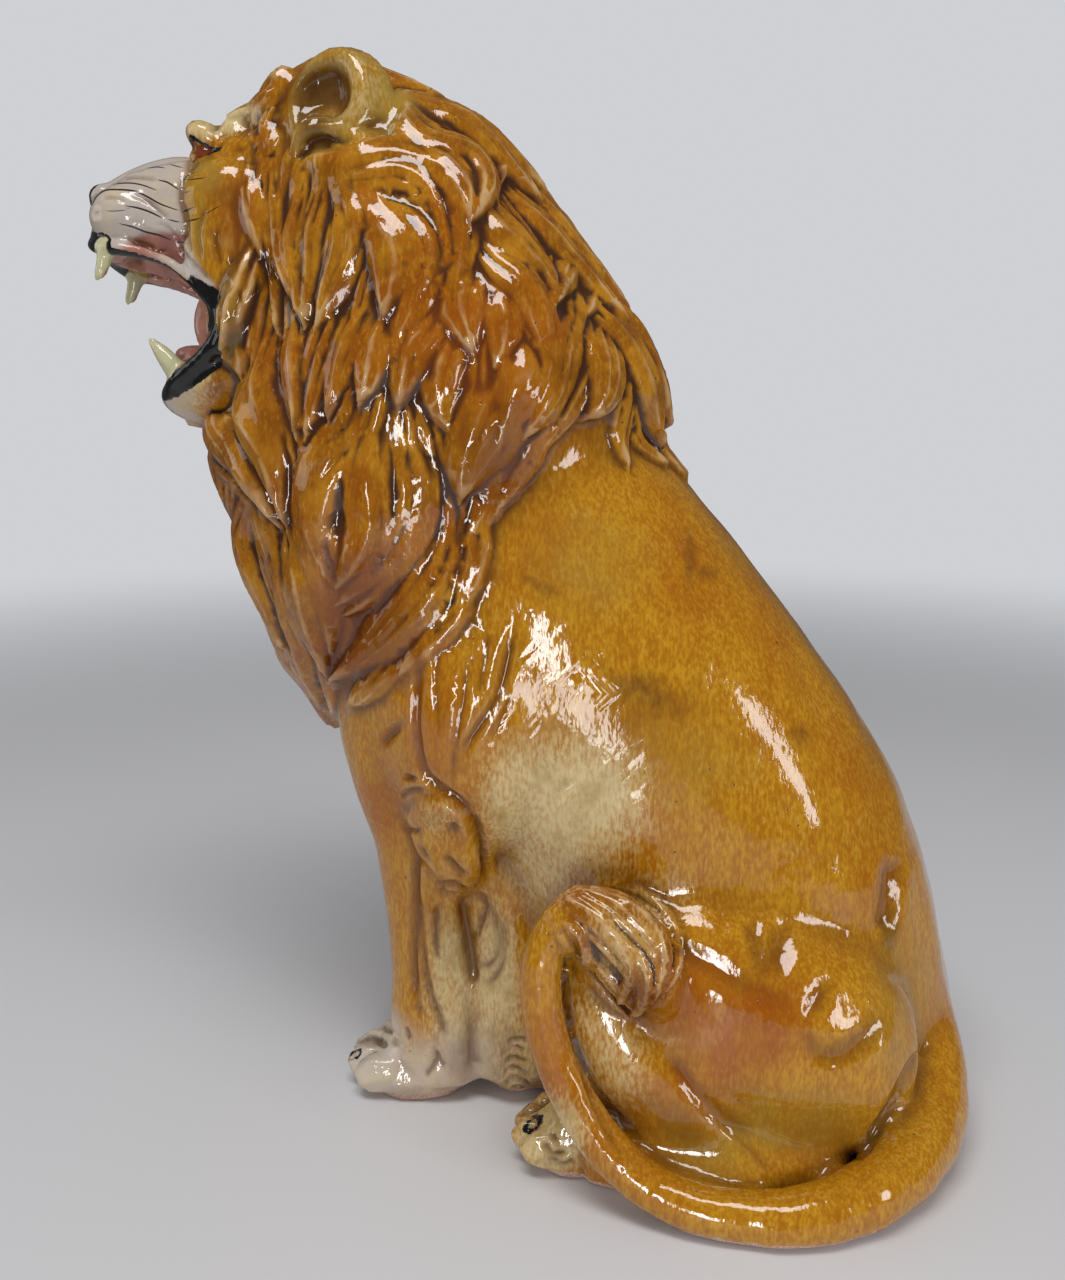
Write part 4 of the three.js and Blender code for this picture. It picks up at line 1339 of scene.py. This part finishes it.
mouth_colour = mixed(between(blotch, 0.3, 0.7), PINK, WARM_PINK)
mouth_colour = mixed(between(pool_mask, 0.2, 1.0, 0.0, 0.7), mouth_colour, BURNT)
colour = mixed(mask_of("mouth"), colour, mouth_colour)
black_edge = plus(mask_of("black"), between(cloud(260, detail=2.0), 0.3, 0.7, -0.45, 0.45))
colour = mixed(between(black_edge, -0.25, 0.35), colour, BLACK)
colour = mixed(mask_of("iris"), colour, IRIS)
off_line = node("ShaderNodeMath", {0: mask_of("stroke")}, operation="ABSOLUTE")
line_gap = figure("SUBTRACT", off_line, mask_of("pressure"))
colour = mixed(between(line_gap, -0.18, 0.08, 0.95, 0.0), colour, BLACK)
colour = mixed(mask_of("ivory"), colour, mixed(between(pool_mask, 0.0, 0.8), IVORY, OLIVE))

bare_edge = plus(mask_of("bare"), between(cloud(120), 0.3, 0.7, -0.3, 0.3))
bare_edge = between(bare_edge, 0.42, 0.6)
bare_colour = mixed(between(grit, 0.35, 0.65), TERRACOTTA, PALE_TERRACOTTA)
colour = mixed(bare_edge, colour, bare_colour)
tree.links.new(colour, shader.inputs["Base Color"])
tree.links.new(between(bare_edge, 0.0, 1.0, GLAZE_GLOSS, CLAY_GLOSS), shader.inputs["Roughness"])
shader.inputs["IOR"].default_value = GLAZE_IOR

ripple = cloud(70, rough=0.5, stretch=(1, 1, 0.7), shift=(9, 3, 1))
skin_height = figure("SUBTRACT", plus(ripple, times(fleck, 0.10)), times(pit, 0.3))
bump = node("ShaderNodeBump", {"Height": skin_height, "Strength": 0.55, "Distance": RIPPLE_DEEP})
tree.links.new(bump, shader.inputs["Normal"])
clay.data.materials.append(glaze)

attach(clay, "root")
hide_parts("lion")

# The floor and the light
# A plain pale floor that fades into the pale air round it. A tall window and a low pane stand on the
# camera's side and another window behind, lamps hang overhead, and a weak light fills the front.
FLOOR_GREY = (0.66, 0.66, 0.67, 1)
AIR_COLOUR = (0.95, 0.96, 1.0, 1)
FLOOR_CLEAR, FLOOR_GONE = 0.9, 2.6  # metres from the figure between which the floor fades
FLOOR_SIZE = 12
FLOOR_DROP = 0.0004  # keeps the floor from lying in the foot's own plane
AIR_LIGHT = 0.34  # of the pale air, on the figure
AIR_SEEN_MORE = 0.32  # what the camera sees of it beyond that
AIR_MIRRORED_LESS = 0.26  # and what the gloss mirrors less
bpy.ops.mesh.primitive_plane_add(size=FLOOR_SIZE, location=(0, 0, -FLOOR_DROP))
floor = bpy.context.object
floor.name = "floor"
floor_paint = bpy.data.materials.new("pale_floor")
floor_paint.use_nodes = True
tree = floor_paint.node_tree
floor_shader = tree.nodes["Principled BSDF"]
floor_shader.inputs["Base Color"].default_value = FLOOR_GREY
floor_shader.inputs["Roughness"].default_value = 0.6
floor_reach = node("ShaderNodeVectorMath", {0: in_clay()}, output="Value", operation="LENGTH")
tree.links.new(between(floor_reach, FLOOR_CLEAR, FLOOR_GONE, 1.0, 0.0), floor_shader.inputs["Alpha"])
floor.data.materials.append(floor_paint)

world = bpy.data.worlds.new("studio")
bpy.context.scene.world = world
world.use_nodes = True
tree = world.node_tree
air = tree.nodes["Background"]
air.inputs["Color"].default_value = AIR_COLOUR
seen_air = times(node("ShaderNodeLightPath", {}, output="Is Camera Ray"), AIR_SEEN_MORE)
mirrored_air = times(node("ShaderNodeLightPath", {}, output="Is Glossy Ray"), AIR_MIRRORED_LESS)
air_strength = figure("SUBTRACT", plus(seen_air, AIR_LIGHT), mirrored_air)
tree.links.new(air_strength, air.inputs["Strength"])


def panel(name, place, aim, wide, high, power):
    """A soft oblong light that faces a point."""
    bpy.ops.object.light_add(type="AREA", location=place)
    lamp = bpy.context.object
    lamp.name = name
    lamp.data.shape = "RECTANGLE"
    lamp.data.size = wide
    lamp.data.size_y = high
    lamp.data.energy = power
    lamp.rotation_euler = (Vector(aim) - Vector(place)).to_track_quat("-Z", "Y").to_euler()


panel("window", (2.3, -0.05, 0.42), (0, 0, 0.30), 0.29, 0.5, 8.2)
panel("low_pane", (0.98, 0.02, 0.14), (0, 0.02, 0.18), 0.16, 0.16, 0.7)
panel("lamp_row", (0.7, -0.1, 2.1), (0, 0, 0.4), 1.3, 0.55, 21)
panel("rear_window", (0.85, 1.5, 0.5), (0, 0.1, 0.3), 0.35, 0.6, 6)
panel("front_fill", (0.3, -2.2, 1.0), (0, 0, 0.4), 1.0, 1.0, 3.5)
bpy.context.scene.view_settings.view_transform = "Standard"
